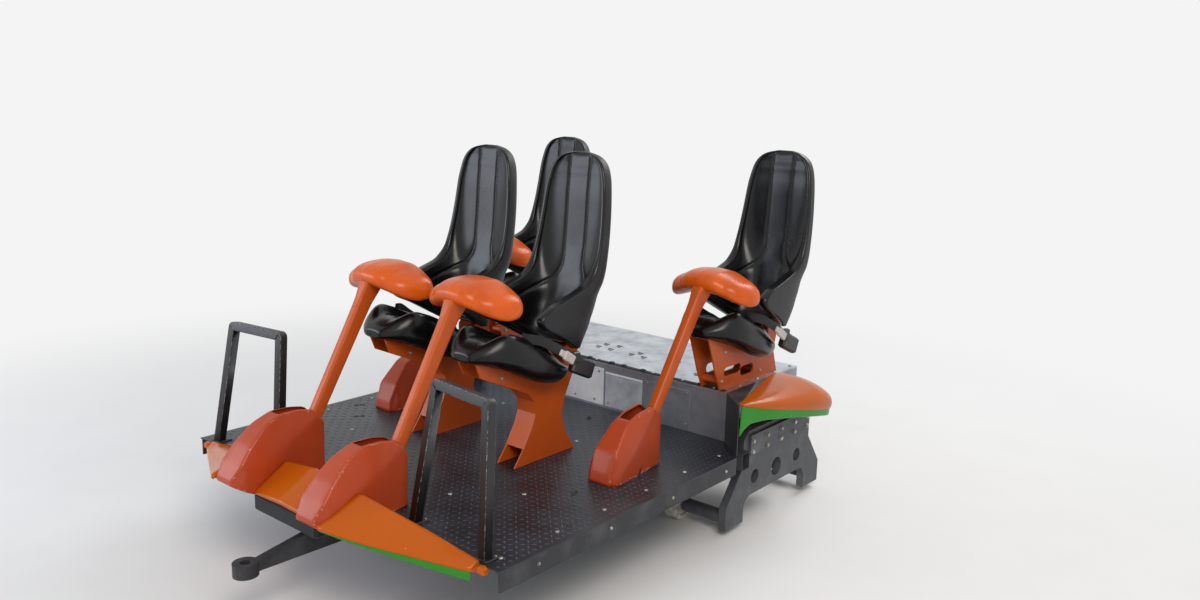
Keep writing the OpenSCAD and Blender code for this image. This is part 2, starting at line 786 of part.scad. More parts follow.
// Side views of the bars' covers, rear foot at the origin: the inner ones reach out over the nose.
inner_profile = [[0, 0], [326, 0], [372, 22], [430, 58], [430, 76], [396, 128], [340, 195], [275, 254],
    [199, 287], [113, 284], [47, 270], [-4, 214]];
outer_profile = [[0, 0], [360, 0], [354, 44], [320, 128], [235, 222], [165, 252], [60, 266], [-4, 214]];

function cover_reach(line) = max([for (p = line) p[0]]) + 6;

// Each profile shrunk toward a place low in its middle by about the sheet's thickness.
function shrunk(line, inset) =
    let (mid = [cover_reach(line) * 0.45, 90])
    [for (p = line) let (v = p - mid) mid + v * (1 - inset / norm(v) * 1.25)];

module cover_plan(reach, inset) {
    i = inset;
    polygon([
        [-10, -38 + i], [reach - 40, -cover_half_w + i], [reach + 4, -cover_half_w + 28 + i],
        [reach + 4, cover_half_w - 28 - i], [reach - 40, cover_half_w - i], [-10, 38 - i]
    ]);
}

// What leans a cover's sides in beyond a diagonal crease. A crease is a place on the side, its
// fall along the car in degrees and the lean beyond it.
inner_crease = [190, 168, 25, 0.26];
outer_crease = [60, 266, 41.5, 0.34];
flank_taper = 0.127;

module flank_cuts(crease, inset) {
    fall = crease[2];
    skew = atan(flank_taper * cos(fall));
    lean = atan((crease[3] - flank_taper * sin(fall)) * cos(skew));
    side = 38 + flank_taper * (crease[0] + 10) - inset;
    for (k = [0, 1]) mirror([0, k, 0])
        translate([crease[0], side, crease[1]]) rotate([0, fall, 0]) rotate([lean, 0, skew])
        translate([-400, 0, -400]) cube([900, 200, 800]);
}

module cover_solid(line, crease, inset) {
    difference() {
        intersection() {
            translate([0, 200, 0]) rotate([90, 0, 0]) linear_extrude(400)
                polygon(inset > 0 ? shrunk(line, inset) : line);
            translate([0, 0, -20]) linear_extrude(400) cover_plan(cover_reach(line), inset);
        }
        flank_cuts(crease, inset);
    }
}

pivot_x = 108;

module bar_cover(line, crease) {
    color(red_orange) {
        difference() {
            cover_solid(line, crease, 0);
            cover_solid(line, crease, cover_wall);
            translate([-20, -stem_t / 2 - 6, 96]) cube([220, stem_t + 12, 220]);
        }
        translate([pivot_x, 0, pivot_z]) rotate([90, 0, 0]) cylinder(d = pivot_d, h = 100, center = true);
    }
}

ref_lean = 32;
boss_len = 905;

// Side view of the stem, from the pivot to the pad's boss.
module stem_outline(inset) {
    i = inset;
    polygon([
        [-26 + i, i > 0 ? 60 : 0], [26 - i, i > 0 ? 60 : 0], [27 - i, 150], [32 - i, 560],
        [46 - i, boss_len - 30 - i], [-46 + i, boss_len - 30 - i], [-32 + i, 560], [-27 + i, 150]
    ]);
}

module stem() {
    color(red_orange) rotate([0, -ref_lean, 0]) difference() {
        union() {
            xz_plate(-stem_t / 2, stem_t) stem_outline(0);
            rotate([90, 0, 0]) cylinder(d = 60, h = stem_t, center = true);
        }
        xz_plate(-stem_t / 2 + stem_wall, stem_t - 2 * stem_wall) stem_outline(stem_wall);
        rotate([90, 0, 0]) cylinder(d = pivot_d + 2 * bearing_gap, h = stem_t + 2, center = true);
    }
}

// Pad sections: offset as a share of the half width, middle x and z from the stem's upper end,
// half depth, half height.
pad_table = [
    [-1.00, -86, -140, 24, 16],
    [-0.92, -76, -116, 62, 38],
    [-0.72, -58, -78, 94, 48],
    [-0.42, -40, -46, 122, 54],
    [0, -32, -34, 126, 56],
    [0.42, -40, -46, 122, 54],
    [0.72, -58, -78, 94, 48],
    [0.92, -76, -116, 62, 38],
    [1.00, -86, -140, 24, 16]
];

module pad() {
    end_x = -boss_len * sin(ref_lean);
    end_z = boss_len * cos(ref_lean);
    color(orange) difference() {
        skin([for (r = pad_table) [for (i = [0 : 23])
            let (a = 360 * i / 24)
            [end_x + r[1] + r[3] * sgn_pow(cos(a), 0.85), r[0] * pad_half_w,
             end_z + r[2] + r[4] * sgn_pow(sin(a), 0.85)]]]);
        minkowski() {
            rotate([0, -ref_lean, 0]) translate([-46, -stem_t / 2, boss_len - 405])
                cube([92, stem_t, 375]);
            cube(2 * seat_gap, center = true);
        }
    }
}

// A lap bar's place: its row of seats and its side of the car, 1 for left and -1 for right.
module place_bar(s, side) {
    scale([1, side, 1]) translate([s[BX] + pivot_x, s[BY], pivot_z])
        rotate([0, ref_lean - s[BLEAN], 0]) children();
}

module bar_covers() {
    both() {
        translate([inner[BX], inner[BY], 0]) bar_cover(inner_profile, inner_crease);
        translate([outer[BX], outer[BY], 0]) bar_cover(outer_profile, outer_crease);
    }
}

module at_run(end, side) {
    translate([bogie_x + end * run_base / 2, side * rail_half_gauge, run_z]) children();
}

module at_guide(end, side) {
    translate([bogie_x + end * guide_base / 2, side * guide_y, rail_z]) children();
}

module at_under(end, side) {
    translate([bogie_x + end * under_base / 2, side * rail_half_gauge, under_z])
        rotate([90, 0, 0]) children();
}

module in_frame() {
    translate([x_shift, 0, deck_z]) children();
}

in_frame() chassis_frame();
in_frame() axle_beam();
in_frame() front_tongue();
in_frame() rear_clevis();
in_frame() wheel_carriers();
in_frame() deck_plate();
in_frame() deck_fascias();
in_frame() box_panels();
in_frame() box_top_plate();
in_frame() box_wings();
in_frame() nose_cover();
in_frame() nose_trim();
in_frame() both() guard_hoop();  // guard_hoops
in_frame() fairings();
in_frame() fairing_trims();
in_frame() seat_stands_inner();
in_frame() seat_stands_outer();
in_frame() at_seats() seat_shell();  // seat_shells
in_frame() at_seats() seat_base();  // seat_bases
in_frame() bar_covers();
in_frame() place_bar(inner, 1) stem();  // bar_stem_inner_left
in_frame() place_bar(inner, 1) pad();  // bar_pad_inner_left
in_frame() place_bar(inner, -1) stem();  // bar_stem_inner_right
in_frame() place_bar(inner, -1) pad();  // bar_pad_inner_right
in_frame() place_bar(outer, 1) stem();  // bar_stem_outer_left
in_frame() place_bar(outer, 1) pad();  // bar_pad_outer_left
in_frame() place_bar(outer, -1) stem();  // bar_stem_outer_right
in_frame() place_bar(outer, -1) pad();  // bar_pad_outer_right
in_frame() at_run(1, 1) run_tyre();  // run_tyre_front_left
in_frame() at_run(1, 1) run_hub();  // run_hub_front_left
in_frame() at_guide(1, 1) small_wheel(guide_d);  // guide_wheel_front_left
in_frame() at_under(1, 1) small_wheel(under_d);  // under_wheel_front_left
in_frame() at_run(1, -1) run_tyre();  // run_tyre_front_right
in_frame() at_run(1, -1) run_hub();  // run_hub_front_right
in_frame() at_guide(1, -1) small_wheel(guide_d);  // guide_wheel_front_right
in_frame() at_under(1, -1) small_wheel(under_d);  // under_wheel_front_right
in_frame() at_run(-1, 1) run_tyre();  // run_tyre_rear_left
in_frame() at_run(-1, 1) run_hub();  // run_hub_rear_left
in_frame() at_guide(-1, 1) small_wheel(guide_d);  // guide_wheel_rear_left
in_frame() at_under(-1, 1) small_wheel(under_d);  // under_wheel_rear_left
in_frame() at_run(-1, -1) run_tyre();  // run_tyre_rear_right
in_frame() at_run(-1, -1) run_hub();  // run_hub_rear_right
in_frame() at_guide(-1, -1) small_wheel(guide_d);  // guide_wheel_rear_right
in_frame() at_under(-1, -1) small_wheel(under_d);  // under_wheel_rear_right
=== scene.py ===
import json
import math

import bpy
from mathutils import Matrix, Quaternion, Vector

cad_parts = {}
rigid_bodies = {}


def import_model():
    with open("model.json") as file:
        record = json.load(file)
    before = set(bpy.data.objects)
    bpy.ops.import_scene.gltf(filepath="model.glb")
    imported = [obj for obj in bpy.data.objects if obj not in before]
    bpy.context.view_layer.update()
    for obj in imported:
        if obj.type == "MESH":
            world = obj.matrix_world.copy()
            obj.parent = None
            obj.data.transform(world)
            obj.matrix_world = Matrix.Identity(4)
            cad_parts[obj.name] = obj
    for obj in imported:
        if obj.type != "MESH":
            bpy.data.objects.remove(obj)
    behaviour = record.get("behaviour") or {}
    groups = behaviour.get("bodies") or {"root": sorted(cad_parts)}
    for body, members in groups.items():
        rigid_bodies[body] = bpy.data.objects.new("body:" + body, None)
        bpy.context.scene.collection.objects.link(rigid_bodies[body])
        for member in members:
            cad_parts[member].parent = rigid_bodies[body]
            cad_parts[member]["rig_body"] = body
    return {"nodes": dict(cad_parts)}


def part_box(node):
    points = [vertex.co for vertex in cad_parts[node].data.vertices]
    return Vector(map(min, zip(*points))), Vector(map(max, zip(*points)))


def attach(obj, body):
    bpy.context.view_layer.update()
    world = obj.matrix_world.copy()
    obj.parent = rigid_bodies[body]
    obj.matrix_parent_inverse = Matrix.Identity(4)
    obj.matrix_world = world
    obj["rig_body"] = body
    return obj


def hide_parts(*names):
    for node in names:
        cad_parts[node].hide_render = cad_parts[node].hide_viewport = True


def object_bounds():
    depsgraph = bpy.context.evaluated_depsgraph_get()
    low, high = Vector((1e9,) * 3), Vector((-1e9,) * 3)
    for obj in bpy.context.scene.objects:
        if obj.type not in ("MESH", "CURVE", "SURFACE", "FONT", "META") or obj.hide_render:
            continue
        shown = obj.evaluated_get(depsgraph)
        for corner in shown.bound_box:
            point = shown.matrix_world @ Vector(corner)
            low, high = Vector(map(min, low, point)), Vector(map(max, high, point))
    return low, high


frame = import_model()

# The long frame: welded mild steel box tube with the axle bridge, tongue and clevis welded to it.
# It is sprayed dark grey over primer, and road dirt and grease dull the paint.
cad_low, cad_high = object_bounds()


def linear(colour):
    """The linear colour of an sRGB hex value such as "E8801E"."""
    parts = [int(colour[i:i + 2], 16) / 255 for i in (0, 2, 4)]
    return tuple(p / 12.92 if p <= 0.04045 else ((p + 0.055) / 1.055) ** 2.4 for p in parts) + (1.0,)


def feed(tree, node, inputs):
    """Sets a node's inputs. A socket is linked to its input, and so is a node's first output."""
    for key, value in inputs.items():
        if isinstance(value, bpy.types.Node):
            value = value.outputs[0]
        if isinstance(value, bpy.types.NodeSocket):
            tree.links.new(value, node.inputs[key])
        else:
            node.inputs[key].default_value = value


def add(tree, kind, inputs, **settings):
    """Adds a node, with its settings, and feeds its inputs."""
    node = tree.nodes.new(kind)
    for name, value in settings.items():
        setattr(node, name, value)
    feed(tree, node, inputs)
    return node


def new_finish(name):
    """An empty material, its node tree, its shader and the place on the piece."""
    finish = bpy.data.materials.new(name)
    finish.use_nodes = True
    tree = finish.node_tree
    place = add(tree, "ShaderNodeTexCoord", {}).outputs["Object"]
    return finish, tree, tree.nodes["Principled BSDF"], place


def per_mm(size):
    """The texture scale at which one feature measures size in millimetres."""
    return 1000.0 / size


def patches(tree, place, size, colours, reach=(0.0, 1.0), detail=4.0, roughness=0.5):
    """Noise in patches of size millimetres, and a colour that passes from one into another by it."""
    noise = add(tree, "ShaderNodeTexNoise", {"Vector": place, "Scale": per_mm(size), "Detail": detail,
                                             "Roughness": roughness})
    share = add(tree, "ShaderNodeMapRange", {"Value": noise, "From Min": reach[0], "From Max": reach[1]})
    ends = [linear(colour) if isinstance(colour, str) else colour for colour in colours]
    tint = add(tree, "ShaderNodeMix", {0: share, 6: ends[0], 7: ends[1]}, data_type="RGBA")
    return noise, tint.outputs[2]


def chassis_paint(name, light, dark):
    # Air-dried machine enamel on steel: dull, slightly orange-peeled, with greasy dark runs
    # and pale dust that lies in patches of a hand's width.
    finish, tree, shader, place = new_finish(name)
    dust, tint = patches(tree, place, 140, (dark, light), (0.45, 0.72), 6.0, 0.62)
    coat = patches(tree, place, 16, (tint, "6B4A38"), (0.69, 0.72))[1]
    peel = add(tree, "ShaderNodeTexNoise", {"Vector": place, "Scale": per_mm(5), "Detail": 2.0})
    relief = add(tree, "ShaderNodeBump", {"Height": peel, "Strength": 0.12, "Distance": 0.001})
    sheen = add(tree, "ShaderNodeMapRange", {"Value": dust, "To Min": 0.38, "To Max": 0.72})
    feed(tree, shader, {"Base Color": coat, "Roughness": sheen, "Normal": relief, "IOR": 1.5})
    return finish


def dressed(node, finish, edge=0.0, segments=2):
    """Gives a CAD node its finish, and breaks its sharp edges by edge metres."""
    obj = frame["nodes"][node]
    obj.data.materials.clear()
    obj.data.materials.append(finish)
    if edge:
        broken = obj.modifiers.new("broken_edges", "BEVEL")
        broken.width = edge
        broken.segments = segments
        broken.limit_method = "ANGLE"
        broken.angle_limit = math.radians(34)
        broken.harden_normals = True


dark_enamel_and_fascia_shade = chassis_paint("chassis_enamel_dark_grey", "47474A", "212327")
for part in ("chassis_frame", "front_tongue", "rear_clevis"):
    dressed(part, dark_enamel_and_fascia_shade, 0.003)


# The wheel carriers: thick steel plate, flame cut and welded, with turned shafts.
# Grease from the bearings darkens them and keeps the rust to a brown film.
def made(name, points, faces, finish, body, smooth=True):
    """A mesh piece in the car's own frame, riding on one of its bodies."""
    mesh = bpy.data.meshes.new(name)
    mesh.from_pydata([tuple(p) for p in points], [], faces)
    mesh.validate()
    mesh.polygons.foreach_set("use_smooth", [smooth] * len(mesh.polygons))
    mesh.materials.append(finish)
    obj = bpy.data.objects.new(name, mesh)
    bpy.context.scene.collection.objects.link(obj)
    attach(obj, body)
    return obj


def turned(profile, start, along, steps=32):
    """Points and faces of a form turned about a line. The profile gives distance along and radius."""
    along = Vector(along).normalized()
    side = along.orthogonal().normalized()
    across = along.cross(side)
    points = []
    for far, radius in profile:
        for i in range(steps):
            a = 2 * math.pi * i / steps
            spoke = side * math.cos(a) + across * math.sin(a)
            points.append(Vector(start) + along * far + spoke * radius)
    faces = []
    for j in range(len(profile) - 1):
        for i in range(steps):
            k = (i + 1) % steps
            faces.append((j * steps + i, j * steps + k, (j + 1) * steps + k, (j + 1) * steps + i))
    last = (len(profile) - 1) * steps
    faces.append(tuple(reversed(range(steps))))
    faces.append(tuple(range(last, last + steps)))
    return points, faces


def gathered(forms):
    """Several lists of points and faces as one."""
    points = []
    faces = []
    for some_points, some_faces in forms:
        base = len(points)
        points.extend(some_points)
        faces.extend(tuple(base + i for i in f) for f in some_faces)
    return points, faces


def hex_bolt(start, along, size):
    """A washer with a chamfered hexagon head on it. size is the thread's diameter."""
    washer = turned([(0, size * 1.05), (size * 0.16, size * 1.05), (size * 0.2, size)], start, along, 20)
    head = turned([(size * 0.18, size * 0.92), (size * 0.72, size * 0.92), (size * 0.84, size * 0.78)],
                  start, along, 6)
    return gathered([washer, head])


def greased_steel(name, light, dark, shine):
    # Bare machined or plated steel: metallic, brushed by handling, dulled where grease holds dust.
    # Its scratches are drawn three millimetres wide, coarser than they are, so that they show.
    finish, tree, shader, place = new_finish(name)
    film, tint = patches(tree, place, 60, (light, dark), (0.42, 0.66), 7.0, 0.6)
    scratch = add(tree, "ShaderNodeTexNoise", {"Vector": place, "Scale": per_mm(3), "Detail": 3.0})
    relief = add(tree, "ShaderNodeBump", {"Height": scratch, "Strength": 0.18, "Distance": 0.0006})
    dull = add(tree, "ShaderNodeMapRange", {"Value": film, "To Min": shine, "To Max": shine + 0.35})
    feed(tree, shader, {"Base Color": tint, "Roughness": dull, "Normal": relief, "Metallic": 0.85})
    return finish


carrier_enamel = chassis_paint("carrier_enamel_mid_grey", "64666A", "45474B")
dressed("wheel_carriers", carrier_enamel, 0.0025)
dressed("axle_beam", carrier_enamel, 0.003)
zinc = greased_steel("zinc_plated_bolts", "B9BBB8", "7B776E", 0.28)

carrier_low, carrier_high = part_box("wheel_carriers")
deck_low, deck_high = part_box("deck_plate")


def carrier_bolts():
    """Two rows of five bolts on each carrier's outer plate."""
    forms = []
    outer = carrier_high.y
    mid_x = (carrier_low.x + carrier_high.x) / 2
    top = deck_high.z + 0.015
    for side in (1, -1):
        for x in (-0.26, -0.13, 0.0, 0.13, 0.26):
            forms.append(hex_bolt((mid_x + x, side * outer, top - 0.005), (0, side, 0), 0.012))
            forms.append(hex_bolt((mid_x + x, side * outer, top - 0.055), (0, side, 0), 0.012))
    return gathered(forms)


made("carrier_bolts", *carrier_bolts(), zinc, "car", smooth=False)


# The wheels: cast hubs with bonded polyurethane tread for running, solid cast nylon for the
# guide and under wheels. Dirt and grease mark the treads where they roll.
def tread_compound():
    # Bonded polyurethane: satin, faintly glossy, with fine scuffs.
    finish, tree, shader, place = new_finish("polyurethane_tread")
    scuff, tint = patches(tree, place, 22, ("1E1D1C", "3A3733"), detail=6.0)
    relief = add(tree, "ShaderNodeBump", {"Height": scuff, "Strength": 0.2, "Distance": 0.001})
    dull = add(tree, "ShaderNodeMapRange", {"Value": scuff, "To Min": 0.35, "To Max": 0.6})
    feed(tree, shader, {"Base Color": tint, "Roughness": dull, "Normal": relief, "IOR": 1.5})
    return finish


def cast_nylon():
    # Cast nylon: off-white, waxy and a little translucent, stained by grease about the hub.
    finish, tree, shader, place = new_finish("cast_nylon")
    stain, tint = patches(tree, place, 30, ("D9D5C6", "8C8472"), (0.45, 0.75), 5.0)
    relief = add(tree, "ShaderNodeBump", {"Height": stain, "Strength": 0.1, "Distance": 0.001})
    feed(tree, shader, {"Base Color": tint, "Normal": relief, "Roughness": 0.42, "IOR": 1.53,
                        "Subsurface Weight": 0.05})
    return finish


tread = tread_compound()
nylon = cast_nylon()
hub_steel = greased_steel("turned_hub_steel", "A3A4A1", "5A544C", 0.3)
wheels = {name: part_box(name) for name in frame["nodes"] if name.startswith(("run_", "guide_", "under_"))}
for name in wheels:
    if name.startswith("run_tyre"):
        dressed(name, tread, 0.006, 3)
    elif name.startswith("run_hub"):
        dressed(name, hub_steel, 0.002)
    else:
        dressed(name, nylon, 0.005, 3)


def wheel_fittings(name):
    """A ring of bolts on the outer face of a wheel, turning with it."""
    low, high = wheels[name]
    middle = (low + high) / 2
    upright = name.startswith("guide")
    outward = Vector((0, 0, 1)) if upright else Vector((0, 1 if middle.y > 0 else -1, 0))
    half = (high.z - low.z) / 2 if upright else (high.y - low.y) / 2
    count, ring, size = (6, 0.040, 0.006) if name.startswith("run") else (5, 0.024, 0.004)
    forms = []
    for i in range(count):
        a = 2 * math.pi * i / count
        if upright:
            spoke = Vector((math.cos(a), math.sin(a), 0)) * ring
        else:
            spoke = Vector((math.cos(a), 0, math.sin(a))) * ring
        forms.append(hex_bolt(middle + outward * half + spoke, outward, size))
    return gathered(forms)


for name in wheels:
    if name.startswith("run_tyre"):
        continue
    made(name + "_bolts", *wheel_fittings(name), zinc, frame["nodes"][name]["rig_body"], smooth=False)


# The deck: one sheet of steel tread plate, rolled with raised lozenges and powder coated dark
# grey. Feet polish the tops of the lozenges, and dust lies between them.
def coated_tread_plate():
    # Powder coat over rolled steel: matt in the hollows, rubbed to grey metal on the lozenges.
    finish, tree, shader, place = new_finish("coated_tread_plate")
    wear, ground = patches(tree, place, 180, ("15181E", "272B34"), (0.4, 0.7), 7.0, 0.6)
    grit = add(tree, "ShaderNodeTexNoise", {"Vector": place, "Scale": per_mm(4), "Detail": 3.0})
    height = add(tree, "ShaderNodeSeparateXYZ", {"Vector": place}).outputs["Z"]
    raised = add(tree, "ShaderNodeMapRange", {"Value": height, "From Min": deck_high.z + 0.0006,
                                              "From Max": deck_high.z + 0.0012})
    rubbed = add(tree, "ShaderNodeMath", {0: raised, 1: wear}, operation="MULTIPLY")
    coat = add(tree, "ShaderNodeMix", {0: rubbed, 6: ground, 7: linear("5E6269")}, data_type="RGBA")
    dull = add(tree, "ShaderNodeMapRange", {"Value": wear, "To Min": 0.26, "To Max": 0.52})
    relief = add(tree, "ShaderNodeBump", {"Height": grit, "Strength": 0.2, "Distance": 0.0006})
    feed(tree, shader, {"Base Color": coat.outputs[2], "Roughness": dull, "Normal": relief, "IOR": 1.5})
    return finish


tread_plate = coated_tread_plate()
dressed("deck_plate", tread_plate, 0.0015)
deck_half = deck_high.y
deck_reach, deck_sweep = 1.110, 0.085
box_half = 0.800
wing_run, wing_out = 0.145, 0.160
# Metres from the deck's rear edge, at the raised box, forward to the inner seats' line.
seat_to_box = 0.430
seat_line = deck_low.x + seat_to_box


def at(x, y, z):
    """A place on the car: metres ahead of the inner seats, left of the middle, over the deck."""
    return Vector((seat_line + x, y, deck_high.z + z))


def deck_front(y):
    """The deck's front edge, which sweeps forward to its corners."""
    return deck_reach + deck_sweep * abs(y) / deck_half


def on_deck(x, y, margin):
    """True where a point is on the deck, margin inside its outline and clear of the box's wings."""
    if abs(y) > deck_half - margin or x > deck_front(y) - margin:
        return False
    if abs(y) < box_half + margin:
        return x > margin - seat_to_box
    return x > margin - seat_to_box + (abs(y) - box_half) * wing_run / wing_out


def lozenges():
    """The tread's raised lozenges, 30 mm apart and turned in turn to either side."""
    pitch = 0.030
    outline = [(0.0125, 0), (0.006, 0.0034), (-0.006, 0.0034), (-0.0125, 0), (-0.006, -0.0034),
               (0.006, -0.0034)]
    forms = []
    for i in range(-16, 42):
        for j in range(-33, 34):
            x = i * pitch
            y = j * pitch
            if not on_deck(x, y, 0.022):
                continue
            turn = math.radians(45 if (i + j) % 2 else -45)
            points = []
            for share, z in ((1.0, -0.0003), (0.58, 0.0013)):
                for u, v in outline:
                    points.append(at(x + share * (u * math.cos(turn) - v * math.sin(turn)),
                                     y + share * (u * math.sin(turn) + v * math.cos(turn)), z))
            faces = [(k, (k + 1) % 6, 6 + (k + 1) % 6, 6 + k) for k in range(6)]
            faces.append((6, 7, 8, 9, 10, 11))
            forms.append((points, faces))
    return gathered(forms)


made("deck_lozenges", *lozenges(), tread_plate, "car")


def deck_screws():
    """Pan heads that hold the deck to the frame's tubes and edges."""
    places = []
    for side in (1, -1):
        for x in (-0.25, 0.02, 0.29, 0.557, 0.827, 1.117):
            places.append((x, side * 0.890))
        for x in (-0.38, -0.12, 0.86):
            places.append((x, side * 0.345))
        places.append((0.050, side * 0.302))
        places.append((0.072, side * 0.262))
        places.append((0.660, side * 0.560))
    forms = []
    for x, y in places:
        forms.append(turned([(0, 0.0095), (0.0022, 0.0088), (0.0038, 0.0058), (0.0042, 0.002)],
                            at(x, y, 0), (0, 0, 1), 16))
    return gathered(forms)


made("deck_screws", *deck_screws(), zinc, "car")


def step_rubber():
    # Extruded rubber: matt black, with ribs 12 mm apart (a wave repeats pi times in its size),
    # greyed by dust.
    finish, tree, shader, place = new_finish("extruded_step_rubber")
    wave = add(tree, "ShaderNodeTexWave", {"Vector": place, "Scale": per_mm(38)}, bands_direction="X")
    tint = patches(tree, place, 25, ("0C0C0E", "2C2C2E"), detail=5.0)[1]
    relief = add(tree, "ShaderNodeBump", {"Height": wave.outputs["Fac"], "Strength": 0.5,
                                          "Distance": 0.001})
    feed(tree, shader, {"Base Color": tint, "Normal": relief, "Roughness": 0.78})
    return finish


rubber = step_rubber()


def deck_plugs():
    """Black plugs pressed into the deck's drain and lifting holes."""
    forms = []
    for side in (1, -1):
        for x, y in ((0.503, 0.692), (0.394, 0.837), (0.752, 0.885), (1.057, 0.671), (-0.26, 0.12)):
            for dx, dy in ((0.0, 0.0), (0.024, 0.014)):
                forms.append(turned([(0, 0.0125), (0.0012, 0.0118), (0.0006, 0.008), (0.0004, 0.002)],
                                    at(x + dx, side * (y + dy), 0), (0, 0, 1), 16))
    return gathered(forms)


made("deck_plugs", *deck_plugs(), rubber, "car")


# The raised box and the fascias: folded sheet, bolted over the wheels and round the deck. The box
# is bare aluminium, so it mirrors its surroundings softly and shows every boot scuff; the pale plates
# on its front carry a painted reflection. The wings are painted like the frame, and the fascias take
# the frame's dark enamel as painted shade: it stands for the shadow in the gap along the deck's edge.
def mill_aluminium(name, light, dark, shine, bare):
    # Rolled aluminium: long faint roll marks across the sheet, under cloudy oxide. The marks are
    # drawn four millimetres wide, coarser than they are, so that they show.
    finish, tree, shader, place = new_finish(name)
    along = add(tree, "ShaderNodeMapping", {"Vector": place, "Scale": (1.0, 0.04, 1.0)})
    rolled = add(tree, "ShaderNodeTexNoise", {"Vector": along, "Scale": per_mm(4), "Detail": 4.0})
    cloud, tint = patches(tree, place, 110, (light, dark), (0.38, 0.68), 7.0, 0.62)
    relief = add(tree, "ShaderNodeBump", {"Height": rolled, "Strength": 0.1, "Distance": 0.0005})
    dull = add(tree, "ShaderNodeMapRange", {"Value": cloud, "To Min": shine, "To Max": shine + 0.22})
    feed(tree, shader, {"Base Color": tint, "Roughness": dull, "Normal": relief, "Metallic": bare})
    return finish


bright_plate = mill_aluminium("mill_finish_aluminium", "C3C9D0", "989EA6", 0.22, 0.9)
weathered_plate = mill_aluminium("weathered_aluminium", "9DA2A8", "858A91", 0.26, 0.7)
# Painted reflection: the near-white and pale blue-grey plates stand for bright surroundings mirrored in
# the box's front face.
white_reflection_plate = mill_aluminium("aluminium_painted_white_reflection", "F1F4F7", "DCE1E6", 0.34, 0.12)
blue_reflection_plate = mill_aluminium("aluminium_painted_blue_reflection", "D3DAE1", "A9B1BA", 0.30, 0.30)
dressed("box_top_plate", bright_plate, 0.002)
dressed("box_panels", weathered_plate, 0.002)
# The fascias' dark enamel is painted shade for the gap along the deck's edge.
dressed("deck_fascias", dark_enamel_and_fascia_shade, 0.0015)
dressed("box_wings", dark_enamel_and_fascia_shade, 0.002)

top_low, top_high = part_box("box_top_plate")
top_z = top_high.z - deck_high.z


def slab(low, high, edge):
    """A plate between two corners with its edges broken all round."""
    points = []
    for z, inset in ((low.z, edge), (low.z + edge, 0), (high.z - edge, 0), (high.z, edge)):
        x0, x1 = low.x + inset, high.x - inset
        y0, y1 = low.y + inset, high.y - inset
        points += [Vector((x, y, z)) for x, y in (
            (x0 + edge, y0), (x1 - edge, y0), (x1, y0 + edge), (x1, y1 - edge),
            (x1 - edge, y1), (x0 + edge, y1), (x0, y1 - edge), (x0, y0 + edge))]
    faces = [tuple(reversed(range(8))), tuple(range(24, 32))]
    for j in range(3):
        for i in range(8):
            k = (i + 1) % 8
            faces.append((j * 8 + i, j * 8 + k, (j + 1) * 8 + k, (j + 1) * 8 + i))
    return points, faces


nosing = slab(Vector((top_high.x - 0.030, top_low.y + 0.02, top_high.z - 0.001)),
              Vector((top_high.x - 0.002, top_high.y - 0.02, top_high.z + 0.004)), 0.0015)
made("step_nosing", *nosing, rubber, "car", smooth=False)


def box_bolts():
    """Screws along the nosing and the top plate's ends, and bolts along the fascias."""
    forms = []
    for k in range(9):
        y = -0.72 + 0.18 * k
        forms.append(turned([(0, 0.008), (0.002, 0.0078), (0.0045, 0.004)],
                            (top_high.x - 0.016, y, top_high.z + 0.0035), (0, 0, 1), 14))
    for side in (1, -1):
        for x in (-1.06, -0.90, -0.74, -0.58):
            forms.append(turned([(0, 0.009), (0.002, 0.0088), (0.0045, 0.005)],
                                at(x, side * 0.775, 0.235), (0, 0, 1), 14))
        for x in (-0.2, 0.2, 0.6, 1.0):
            forms.append(hex_bolt(at(x, side * 0.960, -0.040), (0, side, 0), 0.007))
    return gathered(forms)


made("box_bolts", *box_bolts(), zinc, "car")


def box_plate(y0, y1, z0, z1, proud):
    """A cover plate screwed flat on the raised box's front face."""
    return slab(at(-seat_to_box - 0.001, y0, z0), at(-seat_to_box + proud, y1, z1), 0.001)


# The middle plate and the thin lips over the near plates are near-white, a painted reflection.
middle_plates = [
    box_plate(-0.300, 0.066, 0.012, 0.205, 0.004),
    box_plate(0.078, 0.312, 0.182, 0.192, 0.005),
    box_plate(-0.600, -0.312, 0.182, 0.192, 0.005)
]
made("box_middle_plate", *gathered(middle_plates), white_reflection_plate, "car", smooth=False)
# The near plates' pale blue-grey is a painted reflection.
near_plates = [box_plate(0.078, 0.312, 0.012, 0.180, 0.003),
               box_plate(-0.600, -0.312, 0.012, 0.180, 0.003)]
made("box_near_plates", *gathered(near_plates), blue_reflection_plate, "car", smooth=False)
side_plate = box_plate(0.324, 0.600, 0.012, 0.200, 0.004)
made("box_side_plate", *side_plate, weathered_plate, "car", smooth=False)


def face_plate_bolts():
    """Bolts along the foot of the cover plates, and screws along their upper edge."""
    plate_front = 0.004 - seat_to_box
    forms = []
    for y in (-0.58, -0.33, -0.25, -0.120, 0.010, 0.100, 0.290, 0.345, 0.580):
        forms.append(hex_bolt(at(plate_front, y, 0.034), (1, 0, 0), 0.006))
    for y in (-0.27, -0.120, 0.036, 0.345, 0.580):
        forms.append(turned([(0, 0.007), (0.002, 0.0066), (0.0036, 0.003)], at(plate_front, y, 0.188),
                            (1, 0, 0), 14))
    return gathered(forms)


made("face_plate_bolts", *face_plate_bolts(), zinc, "car", smooth=False)


